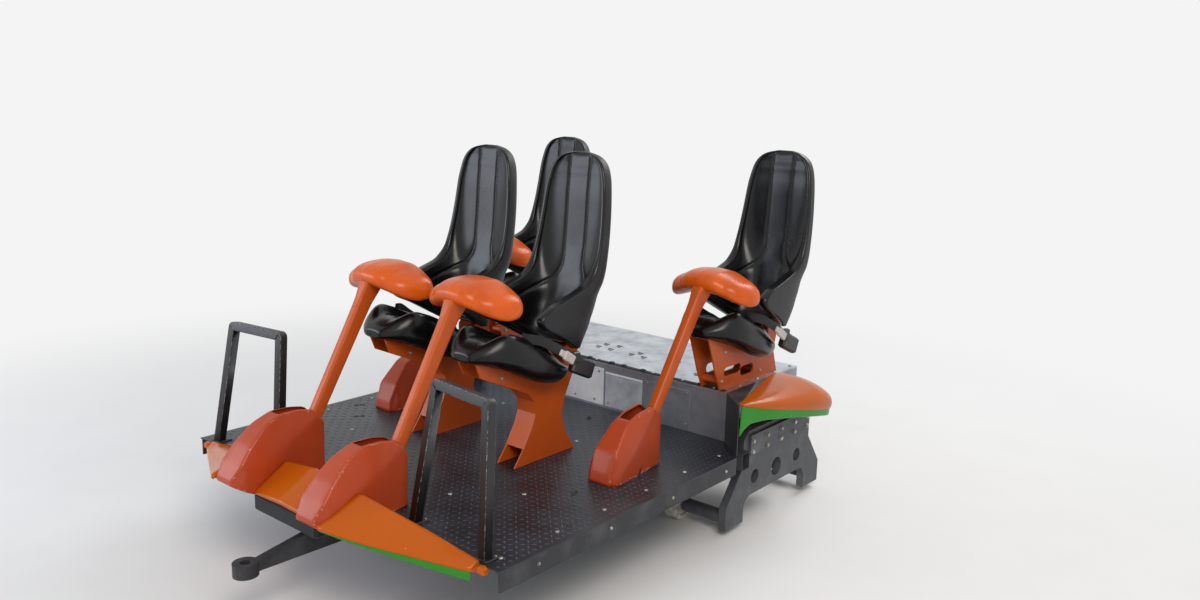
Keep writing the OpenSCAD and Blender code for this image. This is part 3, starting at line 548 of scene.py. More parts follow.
def slot_shade_and_stops():
    """Black slabs painted as the shade inside the sling slots in the top plate, and stops along its front
    edge.
    """
    forms = []
    for x, y in ((-0.677, -0.176), (-0.742, -0.173), (-0.673, -0.089), (-0.758, -0.096), (-0.671, 0.055),
                 (-0.721, 0.076), (-0.668, 0.137), (-0.713, 0.322), (-0.597, 0.520), (-0.690, -0.42),
                 (-0.640, -0.560)):
        for dx, dy, length in ((0.0, 0.0, 0.034), (0.022, 0.009, 0.022)):
            forms.append(slab(at(x + dx - 0.005, y + dy - length / 2, top_z - 0.001),
                              at(x + dx + 0.005, y + dy + length / 2, top_z + 0.0012), 0.0005))
    for y in (-0.62, -0.44, -0.25, -0.044, 0.102, 0.180, 0.301, 0.470, 0.640):
        forms.append(slab(Vector((top_high.x - 0.026, y - 0.013, top_high.z + 0.002)),
                          Vector((top_high.x - 0.004, y + 0.013, top_high.z + 0.011)), 0.003))
    return gathered(forms)


made("slot_shade_and_stops", *slot_shade_and_stops(), rubber, "car", smooth=False)


# The nose and the hoods: glass-fibre mouldings in gloss gelcoat, screwed to the deck. The flow
# of the mould leaves soft round edges, and the gloss carries fine swirls and road chips.
def gelcoat(name, light, dark, chip):
    # Gelcoat: a deep even colour under a clear gloss, faintly faded in patches, with small chips.
    finish, tree, shader, place = new_finish(name)
    tint = patches(tree, place, 260, (light, dark))[1]
    grime = add(tree, "ShaderNodeTexNoise", {"Vector": place, "Scale": per_mm(45), "Detail": 8.0,
                                             "Roughness": 0.7})
    grimed = add(tree, "ShaderNodeMapRange", {"Value": grime, "From Min": 0.56, "From Max": 0.8,
                                              "To Max": 0.25})
    dirty = add(tree, "ShaderNodeMix", {0: grimed, 6: tint, 7: linear("7A5A3C")}, data_type="RGBA")
    chips = add(tree, "ShaderNodeTexVoronoi", {"Vector": place, "Scale": per_mm(38)})
    pits = add(tree, "ShaderNodeMapRange", {"Value": chips, "From Min": 0.055, "From Max": 0.04})
    coat = add(tree, "ShaderNodeMix", {0: pits, 6: dirty.outputs[2], 7: linear(chip)}, data_type="RGBA")
    swirl = add(tree, "ShaderNodeTexNoise", {"Vector": place, "Scale": per_mm(9), "Detail": 3.0})
    relief = add(tree, "ShaderNodeBump", {"Height": swirl, "Strength": 0.05, "Distance": 0.001})
    dull = add(tree, "ShaderNodeMapRange", {"Value": grime, "To Min": 0.12, "To Max": 0.32})
    feed(tree, shader, {"Base Color": coat.outputs[2], "Roughness": dull, "Normal": relief,
                        "Specular IOR Level": 0.20, "Coat Weight": 0.06, "Coat Roughness": 0.08})
    return finish


orange_gelcoat = gelcoat("orange_gelcoat", "C65E06", "B45204", "C9B9A2")
green_gelcoat = gelcoat("green_gelcoat", "35962A", "288020", "B9C2A2")


def between(table, key):
    """A table's row at key, on a smooth curve through its rows that never overshoots them."""
    keys = [row[0] for row in table]
    if key <= keys[0]:
        return list(table[0])
    if key >= keys[-1]:
        return list(table[-1])
    i = max(k for k in range(len(keys) - 1) if keys[k] <= key)
    step = keys[i + 1] - keys[i]
    t = (key - keys[i]) / step
    row = [key]
    for c in range(1, len(table[0])):
        rise = [(table[k + 1][c] - table[k][c]) / (keys[k + 1] - keys[k]) for k in range(len(keys) - 1)]

        def slope(k):
            if k == 0:
                return rise[0]
            if k == len(keys) - 1:
                return rise[-1]
            a, b = rise[k - 1], rise[k]
            return 0.0 if a * b <= 0 else 2 * a * b / (a + b)

        a, b = table[i][c], table[i + 1][c]
        m0, m1 = slope(i) * step, slope(i + 1) * step
        row.append(a * (1 + 2 * t) * (1 - t) ** 2 + m0 * t * (1 - t) ** 2
                   + b * t * t * (3 - 2 * t) + m1 * t * t * (t - 1))
    return row


def lofted(rings, closed=True, capped=True):
    """Faces through rings of equal length, round each ring if closed, with flat ends if capped."""
    n = len(rings[0])
    points = [p for ring in rings for p in ring]
    faces = []
    for j in range(len(rings) - 1):
        for i in range(n if closed else n - 1):
            k = (i + 1) % n
            faces.append((j * n + i, j * n + k, (j + 1) * n + k, (j + 1) * n + i))
    if capped:
        faces.append(tuple(reversed(range(n))))
        faces.append(tuple(range((len(rings) - 1) * n, len(rings) * n)))
    return points, faces


def moulding(name, rows, finish, thickness, mirrored=False):
    """A thin moulded skin through open rows of points, thickened inwards."""
    obj = made(name, *lofted(rows, closed=False, capped=False), finish, "car")
    skin = obj.modifiers.new("skin", "SOLIDIFY")
    skin.thickness = thickness
    skin.offset = 1.0 if mirrored else -1.0
    skin.use_even_offset = False
    return obj


def rounded_path(corners, radius, steps=5):
    """A path through corners with each inner one rounded off."""
    path = [Vector(corners[0])]
    for before, here, after in zip(corners, corners[1:], corners[2:]):
        here = Vector(here)
        to_before = Vector(before) - here
        to_after = Vector(after) - here
        cut = min(radius, to_before.length * 0.45, to_after.length * 0.45)
        a = here + to_before.normalized() * cut
        b = here + to_after.normalized() * cut
        for k in range(steps + 1):
            t = k / steps
            path.append(a * (1 - t) ** 2 + here * 2 * t * (1 - t) + b * t * t)
    path.append(Vector(corners[-1]))
    return path


# Nose sections: offset, place and height of the crest ahead of the deck, reach and height of the
# front edge, in metres. The side pieces rise toward the bar covers.
nose_middle = [
    [0.0, 0.140, 0.125, 0.290, 0.035],
    [0.184, 0.129, 0.105, 0.266, 0.022]
]
nose_side = [
    [0.352, 0.158, 0.135, 0.335, 0.065],
    [0.510, 0.101, 0.089, 0.240, 0.033],
    [0.680, 0.041, 0.039, 0.139, 0.009],
    [0.790, 0.014, 0.010, 0.073, -0.007],
    [0.850, 0.010, 0.005, 0.037, -0.015]
]


def nose_measures(y):
    """The crest's place and height at y, then the front edge's reach and height."""
    return between(nose_side if abs(y) > 0.3 else nose_middle, abs(y))[1:]


def nose_row(y):
    """The nose's section at y: up from the deck's edge, over the crest and down to the lip."""
    crest, crest_z, reach, front = nose_measures(y)
    rear = deck_front(y)
    profile = [(rear, -0.040), (rear, 0.0), (rear + crest, crest_z), (rear + reach, front),
               (rear + reach, front - 0.009)]
    corners = [at(x, y, z) for x, z in profile]
    return rounded_path(corners, 0.010, 5)


def folded_in(row, share):
    """A section drawn in toward the line between its ends, which closes a moulding's end."""
    steps = len(row) - 1
    return [p + (row[0] + (row[-1] - row[0]) * k / steps - p) * share for k, p in enumerate(row)]


def nose_piece(name, y0, y1, steps):
    """One moulding of the nose between two offsets, closed at its ends."""
    rows = [nose_row(y0 + (y1 - y0) * i / steps) for i in range(steps + 1)]
    rows = [folded_in(rows[0], share) for share in (1.0, 0.5, 0.06)] + rows
    rows += [folded_in(rows[-1], share) for share in (0.06, 0.5, 1.0)]
    return moulding(name, rows, orange_gelcoat, 0.006, mirrored=y1 > y0)


middle_half = nose_middle[-1][0]
side_in, side_out = nose_side[0][0], nose_side[-1][0]
nose_pieces = [
    nose_piece("nose_middle", -middle_half, middle_half, 24),
    nose_piece("nose_left", side_in, side_out, 36),
    nose_piece("nose_right", -side_in, -side_out, 36)
]
for piece in nose_pieces:
    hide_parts("nose_cover")

# A small moulded cap closes each end of the nose, and a rubber block sits under its middle lip.
nose_caps = []
for side in (1, -1):
    near, far = sorted((side * 0.868, side * 0.906))
    nose_caps.append(slab(at(1.184, near, -0.030), at(1.214, far, -0.002), 0.006))
caps = made("nose_end_caps", *gathered(nose_caps), orange_gelcoat, "car", smooth=False)
bumper = slab(at(1.300, -0.205, -0.062), at(1.392, 0.205, 0.012), 0.010)
made("nose_bumper", *bumper, rubber, "car", smooth=False)

# Stripe below the nose's lip: offset and depth.
stripe_sections = [[0.352, 0.004], [0.510, 0.014], [0.680, 0.026], [0.790, 0.032], [0.850, 0.034]]


def stripe(name, side):
    """The green band that hangs from the lip of one side piece of the nose."""
    rows = []
    for i in range(37):
        y = side_in + (side_out - side_in) * i / 36
        reach, front = nose_measures(y)[2:]
        depth = between(stripe_sections, y)[1]
        x = deck_front(y) + reach
        top = front - 0.009
        rows.append([at(x - 0.0008, side * y, top + 0.0005), at(x - 0.0004, side * y, top - 0.001),
                     at(x - 0.0015, side * y, top - depth + 0.002), at(x - 0.005, side * y, top - depth)])
    return moulding(name, rows, green_gelcoat, 0.004, mirrored=side > 0)


both_sides = ((1, "left"), (-1, "right"))
for side, word in both_sides:
    band = stripe("nose_stripe_" + word, side)
    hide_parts("nose_trim")

# Hood sections: place along the car, inner edge and height, outer edge and height, foot.
hood_sections = [
    [-1.010, 0.800, 0.201, 1.041, 0.085, 0.043],
    [-0.960, 0.800, 0.224, 1.047, 0.094, 0.053],
    [-0.880, 0.800, 0.243, 1.049, 0.110, 0.070],
    [-0.800, 0.808, 0.247, 1.046, 0.126, 0.085],
    [-0.684, 0.838, 0.248, 1.035, 0.151, 0.106],
    [-0.560, 0.874, 0.248, 1.020, 0.178, 0.126],
    [-0.440, 0.908, 0.247, 0.998, 0.205, 0.140],
    [-0.380, 0.925, 0.247, 0.985, 0.220, 0.140],
    [-0.335, 0.938, 0.246, 0.976, 0.232, 0.124],
    [-0.302, 0.946, 0.246, 0.968, 0.240, 0.092]
]
rear_fall = hood_sections[0][2] - hood_sections[0][4]


def hood_row(x, side):
    """A hood's section: up its inner edge, over its crown and round its shoulder to the skirt."""
    in_y, in_z, out_y, out_z = between(hood_sections, x)[1:5]
    fall = (in_z - out_z) / rear_fall
    # The inner wall reaches less far down ahead of the outer seats.
    low = 0.175 + 0.06 * min(1, max(0, (x + 0.900) / 0.15))
    crown = (in_y + 0.62 * (out_y - in_y), in_z + 0.004 * fall)
    shoulder = (out_y + 0.034 * fall, out_z + 0.080 * fall)
    corners = [(in_y, low), (in_y, in_z)]
    for k in range(1, 16):
        t = k / 16
        a, b, c, d = (1 - t) ** 3, 3 * t * (1 - t) ** 2, 3 * t * t * (1 - t), t ** 3
        corners.append((a * in_y + b * crown[0] + c * shoulder[0] + d * out_y,
                        a * in_z + b * crown[1] + c * shoulder[1] + d * out_z))
    corners += [(out_y, out_z), (out_y - 0.006, out_z - 0.008)]
    return rounded_path([at(x, side * y, z) for y, z in corners], 0.008, 2)


def hood_trim_row(x, side):
    """The skirt's section, from under the hood's edge down to its foot."""
    out_y, out_z, foot = between(hood_sections, x)[3:]
    y = out_y - 0.0050
    corners = [(y, out_z - 0.003), (y, out_z - 0.010), (y - 0.0030, foot + 0.004), (y - 0.0075, foot)]
    return rounded_path([at(x, side * b, z) for b, z in corners], 0.006, 3)


for side, word in both_sides:
    rear, front = hood_sections[0][0], hood_sections[-1][0]
    stations = [rear + (front - rear) * i / 60 for i in range(61)]
    rows = [hood_row(x, side) for x in stations]
    rows = [folded_in(rows[0], share) for share in (1.0, 0.5, 0.04)] + rows
    hood = moulding("hood_" + word, rows, orange_gelcoat, 0.005, mirrored=side > 0)
    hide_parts("fairings")
    skirt = moulding("hood_skirt_" + word, [hood_trim_row(x, side) for x in stations], green_gelcoat,
                     0.005, mirrored=side > 0)
    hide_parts("fairing_trims")


# The guard hoops: square steel tube, mitred and welded, powder coated black. Hands have rubbed
# the corners of the tube down to bright steel.
def rubbed_coating(name, light, dark, bare, roughness):
    # Powder coat: even satin colour, rubbed through along the edges where the rub value is high.
    finish, tree, shader, place = new_finish(name)
    blotch, tint = patches(tree, place, 90, (light, dark), detail=5.0)
    edge = add(tree, "ShaderNodeAttribute", {}, attribute_name="rub").outputs["Fac"]
    grain = add(tree, "ShaderNodeTexNoise", {"Vector": place, "Scale": per_mm(18), "Detail": 6.0,
                                             "Roughness": 0.7})
    worn = add(tree, "ShaderNodeMath", {0: grain, 1: edge}, operation="MULTIPLY")
    through = add(tree, "ShaderNodeMapRange", {"Value": worn, "From Min": 0.46, "From Max": 0.5})
    coat = add(tree, "ShaderNodeMix", {0: through, 6: tint, 7: linear(bare)}, data_type="RGBA")
    peel = add(tree, "ShaderNodeTexNoise", {"Vector": place, "Scale": per_mm(4), "Detail": 2.0})
    depth = add(tree, "ShaderNodeMath", {0: peel, 1: through}, operation="SUBTRACT")
    relief = add(tree, "ShaderNodeBump", {"Height": depth, "Strength": 0.12, "Distance": 0.001})
    dull = add(tree, "ShaderNodeMapRange", {"Value": blotch, "To Min": roughness,
                                            "To Max": roughness + 0.22})
    feed(tree, shader, {"Base Color": coat.outputs[2], "Roughness": dull, "Normal": relief})
    return finish


def with_rub(obj, values):
    """Notes how much each point of a piece is rubbed, from 0 to 1."""
    noted = obj.data.attributes.new("rub", "FLOAT", "POINT")
    noted.data.foreach_set("value", values)
    return obj


def tube_outline(half_u, half_v, radius, steps=4):
    """The outline of a box tube with round corners, and how far each point is on a corner."""
    outline = []
    u = half_u - radius
    v = half_v - radius
    for corner, (mid_u, mid_v) in enumerate(((u, v), (-u, v), (-u, -v), (u, -v))):
        for k in range(steps + 1):
            a = math.pi / 2 * (corner + k / steps)
            outline.append((mid_u + radius * math.cos(a), mid_v + radius * math.sin(a),
                            1.0 - abs(2 * k / steps - 1) * 0.5))
    return outline


def swept(path, outline, normal):
    """Rings of an outline carried along a path that lies in the plane across normal."""
    rings = []
    rub = []
    for i, here in enumerate(path):
        ahead = path[min(i + 1, len(path) - 1)] - path[max(i - 1, 0)]
        tangent = ahead.normalized()
        across = tangent.cross(normal).normalized()
        square = normal - tangent * normal.dot(tangent)
        square.normalize()
        rings.append([here + across * u + square * v for u, v, _ in outline])
        rub.extend(r for _, _, r in outline)
    return rings, rub


black_tube = rubbed_coating("black_powder_coat", "1B1C1E", "26272A", "8C8D8E", 0.34)


def hoop_line(y):
    """The line on the deck that a hoop's feet stand on."""
    return deck_front(y) - 0.026


hoop_in, hoop_out, hoop_top = 0.447, 0.858, 0.531


def guard_hoop(side):
    """A hoop as points, faces and each point's rub. It rakes back, and its legs lean in."""
    rake = 0.070
    corners = [at(hoop_line(hoop_in), side * hoop_in, 0.0),
               at(hoop_line(hoop_in) - rake, side * 0.500, hoop_top),
               at(hoop_line(hoop_out) - rake, side * 0.803, hoop_top),
               at(hoop_line(hoop_out), side * hoop_out, 0.0)]
    path = rounded_path(corners, 0.006, 3)
    normal = (corners[1] - corners[2]).cross(corners[0] - corners[1]).normalized()
    rings, rub = swept(path, tube_outline(0.019, 0.019, 0.004), normal)
    return lofted(rings), rub


def hoop_feet(side):
    """A welded foot plate with two bolts under each leg."""
    plates = []
    bolts = []
    for y in (hoop_in, hoop_out):
        x = hoop_line(y)
        plates.append(slab(at(x - 0.046, side * y - 0.030, -0.0005),
                           at(x + 0.020, side * y + 0.030, 0.006), 0.0015))
        for dy in (-0.018, 0.018):
            bolts.append(hex_bolt(at(x - 0.034, side * y + dy, 0.0055), (0, 0, 1), 0.005))
    return gathered(plates), gathered(bolts)


for side, word in both_sides:
    form, rub = guard_hoop(side)
    hoop = with_rub(made("guard_hoop_" + word, *form, black_tube, "car"), rub)
    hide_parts("guard_hoops")
    plates, bolts = hoop_feet(side)
    made("hoop_feet_" + word, *plates, black_tube, "car", smooth=False)
    made("hoop_bolts_" + word, *bolts, zinc, "car", smooth=False)


# The seat stands, bar stems and bar covers: steel plate and box section, welded and painted
# red-orange. The paint is chipped at the edges to pale primer and brown steel.
def stand_paint(name, light, dark):
    # Two-pack paint on steel: glossy when clean, dulled by hands and dust, chips in clusters.
    finish, tree, shader, place = new_finish(name)
    fade, tint = patches(tree, place, 150, (light, dark), detail=5.0)
    edge = add(tree, "ShaderNodeAttribute", {}, attribute_name="rub").outputs["Fac"]
    grain = add(tree, "ShaderNodeTexNoise", {"Vector": place, "Scale": per_mm(14), "Detail": 7.0,
                                             "Roughness": 0.72})
    spread = add(tree, "ShaderNodeMapRange", {"Value": edge, "To Min": 0.71, "To Max": 0.5})
    over = add(tree, "ShaderNodeMath", {0: grain, 1: spread}, operation="SUBTRACT")
    chipped = add(tree, "ShaderNodeMapRange", {"Value": over, "From Min": 0.0, "From Max": 0.012})
    bare = add(tree, "ShaderNodeMapRange", {"Value": over, "From Min": 0.03, "From Max": 0.045})
    primer = add(tree, "ShaderNodeMix", {0: chipped, 6: tint, 7: linear("CDBFAE")}, data_type="RGBA")
    coat = add(tree, "ShaderNodeMix", {0: bare, 6: primer.outputs[2], 7: linear("4B3A30")},
               data_type="RGBA")
    peel = add(tree, "ShaderNodeTexNoise", {"Vector": place, "Scale": per_mm(4), "Detail": 2.0})
    depth = add(tree, "ShaderNodeMath", {0: peel, 1: chipped}, operation="SUBTRACT")
    relief = add(tree, "ShaderNodeBump", {"Height": depth, "Strength": 0.14, "Distance": 0.001})
    dull = add(tree, "ShaderNodeMapRange", {"Value": fade, "To Min": 0.26, "To Max": 0.5})
    feed(tree, shader, {"Base Color": coat.outputs[2], "Roughness": dull, "Normal": relief,
                        "Specular IOR Level": 0.30, "Coat Weight": 0.08, "Coat Roughness": 0.12})
    return finish


orange_paint = stand_paint("orange_paint", "CE5C1C", "B44A12")
dressed("seat_stands_inner", orange_paint, 0.0035, 3)
dressed("seat_stands_outer", orange_paint, 0.0035, 3)

# Each row's place: ahead of the inner seats and out from the middle.
seats = {"inner": (0.0, 0.286), "outer": (-1.032, 0.708)}
plate_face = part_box("seat_stands_outer")[1].y - seats["outer"][1]


def stand_bolts(row):
    """Bolts through a stand's two plates: to the shell, to the base, and through the outer feet."""
    places = [(0.050, 0.860), (0.072, 0.780), (0.096, 0.690), (0.122, 0.600), (0.575, 0.418)]
    if row == "outer":
        places += [(0.250, 0.268), (0.590, 0.280)]
    forms = []
    for x, z in places:
        for face in (1, -1):
            forms.append(hex_bolt(Vector((x, face * (plate_face - 0.0005), z)), (0, face, 0), 0.008))
    return gathered(forms)


def placed(form, x, y, side):
    """A form moved to a seat or bar, and mirrored on the car's right side."""
    points, faces = form
    moved = [at(x + p[0], side * (y + p[1]), p[2]) for p in points]
    if side < 0:
        faces = [tuple(reversed(f)) for f in faces]
    return moved, faces


for row, (x, y) in seats.items():
    for side, word in both_sides:
        made(f"stand_bolts_{row}_{word}", *placed(stand_bolts(row), x, y, side), zinc, "car",
             smooth=False)


# The seat shells: self-skinned foam moulded round a plate, near black, with a glossy front panel
# that is nearly flush with its rim. Two narrow pleats run up it and over its broad round top.
def seat_skin(name, light, dark, roughness):
    # Self-skinned polyurethane: a fine pebble grain of about a millimetre and a half under gloss.
    finish, tree, shader, place = new_finish(name)
    dust, tint = patches(tree, place, 120, (light, dark), (0.45, 0.75), 7.0, 0.65)
    grain = add(tree, "ShaderNodeTexVoronoi", {"Vector": place, "Scale": per_mm(1.6)},
                feature="SMOOTH_F1")
    relief = add(tree, "ShaderNodeBump", {"Height": grain, "Strength": 0.08, "Distance": 0.0008})
    dull = add(tree, "ShaderNodeMapRange", {"Value": dust, "To Min": roughness,
                                            "To Max": roughness + 0.18})
    feed(tree, shader, {"Base Color": tint, "Roughness": dull, "Normal": relief, "IOR": 1.49,
                        "Specular IOR Level": 0.36})
    return finish


black_skin = seat_skin("self_skinned_foam_black", "08090B", "141519", 0.17)
back_skin = seat_skin("moulded_back_satin_grey", "1E1F22", "2E2F33", 0.40)

# Height over the deck, rear face behind the seat's line, share of the half width, reach forward,
# squareness of the section and thickness of the back at its middle.
shell_sections = [
    [0.500, -0.165, 0.78, 0.070, 2.6, 0.040],
    [0.545, -0.140, 0.90, 0.170, 3.2, 0.042],
    [0.590, -0.115, 0.96, 0.275, 3.8, 0.044],
    [0.630, -0.098, 0.99, 0.370, 4.2, 0.046],
    [0.670, -0.080, 1.00, 0.410, 4.4, 0.048],
    [0.705, -0.067, 1.00, 0.375, 4.2, 0.050],
    [0.740, -0.055, 1.00, 0.270, 3.8, 0.053],
    [0.780, -0.042, 0.99, 0.170, 3.4, 0.056],
    [0.850, -0.027, 0.97, 0.122, 3.2, 0.060],
    [0.950, -0.010, 0.94, 0.106, 3.2, 0.066],
    [1.060, 0.004, 0.90, 0.100, 3.2, 0.072],
    [1.160, 0.014, 0.85, 0.098, 3.2, 0.076],
    [1.230, 0.020, 0.78, 0.094, 3.2, 0.076],
    [1.270, 0.020, 0.70, 0.087, 3.0, 0.070],
    [1.296, 0.017, 0.58, 0.080, 2.8, 0.065],
    [1.312, 0.012, 0.44, 0.073, 2.6, 0.060],
    [1.324, 0.006, 0.20, 0.064, 2.4, 0.054]
]
shell_half = 0.205
crown_z, crown_rise = 1.290, 0.034
# Points round one section: along its back, round each rim and across the front panel.
back_count, rim_count, front_count = 57, 11, 97


def evenly(line, count):
    """count points at equal steps along a line of 2-D points, and each one's distance along it."""
    runs = [0.0]
    for (x0, y0), (x1, y1) in zip(line, line[1:]):
        runs.append(runs[-1] + math.hypot(x1 - x0, y1 - y0))
    spaced = []
    k = 0
    for i in range(count):
        want = runs[-1] * i / (count - 1)
        while k < len(runs) - 2 and runs[k + 1] < want:
            k += 1
        t = (want - runs[k]) / max(runs[k + 1] - runs[k], 1e-9)
        spaced.append((line[k][0] + (line[k + 1][0] - line[k][0]) * t,
                       line[k][1] + (line[k + 1][1] - line[k][1]) * t, want))
    return spaced, runs[-1]


def bowed(rear, reach, half, power, count):
    """A U-shaped line open to the front, from its right end round the back to its left end."""
    line = []
    for i in range(361):
        a = math.radians(-90 + 0.5 * i)
        c = max(math.cos(a), 0.0)
        s = math.sin(a)
        y = half * math.copysign(abs(s) ** (2 / power), s)
        line.append((-rear + reach - reach * c ** (2 / power), y))
    return evenly(line, count)


def eased(value, low, high):
    """0 below low, 1 above high, and a soft step between them."""
    t = min(max((value - low) / (high - low), 0.0), 1.0)
    return t * t * (3 - 2 * t)


def shell_ring(z):
    """One level section of a shell: its outer side first, then a rim, the front panel and a rim."""
    rear, share, reach, power, back = between(shell_sections, z)[1:]
    half = share * shell_half
    dish = eased(z, 0.76, 0.92)
    wall = min(0.046 - 0.022 * dish, half * 0.55)
    nose = min(0.024 - 0.012 * dish, reach * 0.25)
    ring = [(x, y) for x, y, _ in bowed(rear, reach - nose, half, power, back_count)[0]]
    tip = -rear + reach
    for side in (1, -1):
        rim = []
        for k in range(1, rim_count + 1):
            a = math.pi * k / (rim_count + 1)
            c = math.cos(a)
            rim.append((tip - nose + nose * math.sin(a) ** 0.75,
                        side * (half - wall / 2 + wall / 2 * math.copysign(abs(c) ** 0.8, c))))
        if side > 0:
            ring += rim
            front, length = bowed(rear - back + 0.008, reach - back + 0.008 - nose, half - wall,
                                  power * (0.82 - 0.12 * dish), front_count)
            pleat = pleat_place(z, length)
            for i in reversed(range(front_count)):
                x, y, run = front[i]
                xa, ya = front[max(i - 1, 0)][:2]
                xb, yb = front[min(i + 1, front_count - 1)][:2]
                size = math.hypot(xb - xa, yb - ya)
                off = abs(run - length / 2)
                near = min(abs(off - pleat), length / 2 - off)
                puff = (0.010 - 0.0075 * dish) * (1 - math.exp(-near / 0.016))
                puff -= 0.0045 * dish * math.exp(-((off - pleat) / 0.0045) ** 2)
                ring.append((x + (yb - ya) / size * puff, y - (xb - xa) / size * puff))
        else:
            ring += list(reversed(rim))
    thin = math.sqrt(1 - (max(z - crown_z, 0.0) / crown_rise) ** 2)
    middle = -rear + reach / 2
    return [(middle + (x - middle) * thin, y) for x, y in ring]


def pleat_place(z, length):
    """How far along the front panel each pleat lies from the middle: out into the wings below."""
    t = min(max((0.90 - z) / 0.26, 0.0), 1.0)
    return 0.058 * (1 - t) ** 1.5 + length / 2 * (0.86 * t ** 1.3) * (1 - 0.25 * (1 - t))


def seat_shell():
    """A whole shell, from its foot up to the crown, where the sections close in."""
    foot = shell_sections[0][0]
    rows = [foot + (crown_z - foot) * i / 88 for i in range(89)]
    rows += [crown_z + crown_rise * math.sin(math.pi / 2 * k / 9.3) for k in range(1, 10)]
    return lofted([[Vector((x, y, z)) for x, y in shell_ring(z)] for z in rows])


shell_form = seat_shell()
for row, (x, y) in seats.items():
    for side, word in both_sides:
        shell = made(f"seat_shell_{row}_{word}", *placed(shell_form, x, y, side), black_skin, "car")
        shell.data.materials.append(back_skin)
        for k, face in enumerate(shell.data.polygons):
            face.material_index = int(k % (back_count + 2 * rim_count + front_count) < back_count)
        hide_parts("seat_shells")


# The seat bases: a foam saddle over a moulded tray, skinned in the same black. A webbing strap
# with a plastic buckle crosses the rear of each one.
# Sections: place along the seat, height of the middle, half width and half height.
base_sections = [
    [0.196, 0.395, 0.070, 0.022],
    [0.222, 0.398, 0.112, 0.032],
    [0.275, 0.406, 0.142, 0.044],
    [0.360, 0.424, 0.162, 0.054],
    [0.450, 0.456, 0.170, 0.062],
    [0.540, 0.496, 0.168, 0.064],
    [0.620, 0.522, 0.156, 0.064],
    [0.680, 0.532, 0.128, 0.050],
    [0.716, 0.532, 0.096, 0.036],
    [0.745, 0.526, 0.052, 0.020]
]


def base_ring(x, shrink=1.0):
    """One cross section of a base: its sides stand over the middle and hang beside the stand."""
    middle, half, height = between(base_sections, x)[1:]
    lift = 0.078 * eased(x, 0.24, 0.42) * (1 - eased(x, 0.58, 0.735))
    drop = 0.034 * eased(x, 0.20, 0.32) * (1 - eased(x, 0.50, 0.68))
    ring = []
    for i in range(72):
        a = 2 * math.pi * i / 72
        c, s = math.cos(a), math.sin(a)
        y = half * shrink * math.copysign(abs(c) ** 0.78, c)
        out = eased(abs(y) / half, 0.30, 0.85)
        rise = height + lift * out if s > 0 else 0.8 * height + drop * out
        ring.append(Vector((x, y, middle + rise * shrink * math.copysign(abs(s) ** 0.78, s))))
    return ring


def seat_base():
    """A whole base, drawn in a little at both ends."""
    rear, front = base_sections[0][0], base_sections[-1][0]
    rings = [base_ring(rear, 0.6)]
    rings += [base_ring(rear + (front - rear) * i / 56) for i in range(57)]
    rings.append(base_ring(front, 0.6))
    return lofted(rings)


base_form = seat_base()
for row, (x, y) in seats.items():
    for side, word in both_sides:
        base = made(f"seat_base_{row}_{word}", *placed(base_form, x, y, side), black_skin, "car")
        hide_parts("seat_bases")


def webbing():
    # Woven polyester belt: matt black, with its weft showing as fine ribs two millimetres apart
    # (a wave repeats pi times in its size).
    finish, tree, shader, place = new_finish("woven_polyester_webbing")
    wave = add(tree, "ShaderNodeTexWave", {"Vector": place, "Scale": per_mm(2 * 3.14), "Distortion": 0.4},
               bands_direction="DIAGONAL")
    weft = wave.outputs["Fac"]
    tint = add(tree, "ShaderNodeMix", {0: weft, 6: linear("0C0C0E"), 7: linear("232326")},
               data_type="RGBA")
    relief = add(tree, "ShaderNodeBump", {"Height": weft, "Strength": 0.3, "Distance": 0.0005})
    feed(tree, shader, {"Base Color": tint.outputs[2], "Normal": relief, "Roughness": 0.8,
                        "Sheen Weight": 0.15})
    return finish


def moulded_plastic(name, light, dark):
    # Injection-moulded nylon: even colour, satin, with a faint spark-eroded texture. It is drawn
    # about a millimetre wide, coarser than it is, so that it shows.
    finish, tree, shader, place = new_finish(name)
    tint = patches(tree, place, 26, (light, dark))[1]
    grain = add(tree, "ShaderNodeTexNoise", {"Vector": place, "Scale": per_mm(1.2), "Detail": 2.0})
    relief = add(tree, "ShaderNodeBump", {"Height": grain, "Strength": 0.15, "Distance": 0.0004})
    feed(tree, shader, {"Base Color": tint, "Normal": relief, "Roughness": 0.38, "IOR": 1.53})
    return finish


def belt():
    """The webbing that crosses a base's outer side, down to its anchor on the stand."""
    corners = [Vector(p) for p in ((0.520, 0.118, 0.590), (0.450, 0.168, 0.575), (0.380, 0.196, 0.530),
                                   (0.300, 0.205, 0.480), (0.215, 0.200, 0.440), (0.150, 0.120, 0.420))]
    section = tube_outline(0.020, 0.0016, 0.0012, 2)
    return lofted(swept(rounded_path(corners, 0.030, 5), section, Vector((0, 1, 0)))[0])


def tilted(form, pivot, degrees):
    """A form turned nose up about a level line across the car."""
    a = math.radians(degrees)
    points, faces = form
    turned_points = []
    for p in points:
        x, z = p[0] - pivot[0], p[2] - pivot[1]
        turned_points.append(Vector((pivot[0] + x * math.cos(a) - z * math.sin(a), p[1],
                                     pivot[1] + x * math.sin(a) + z * math.cos(a))))
    return turned_points, faces


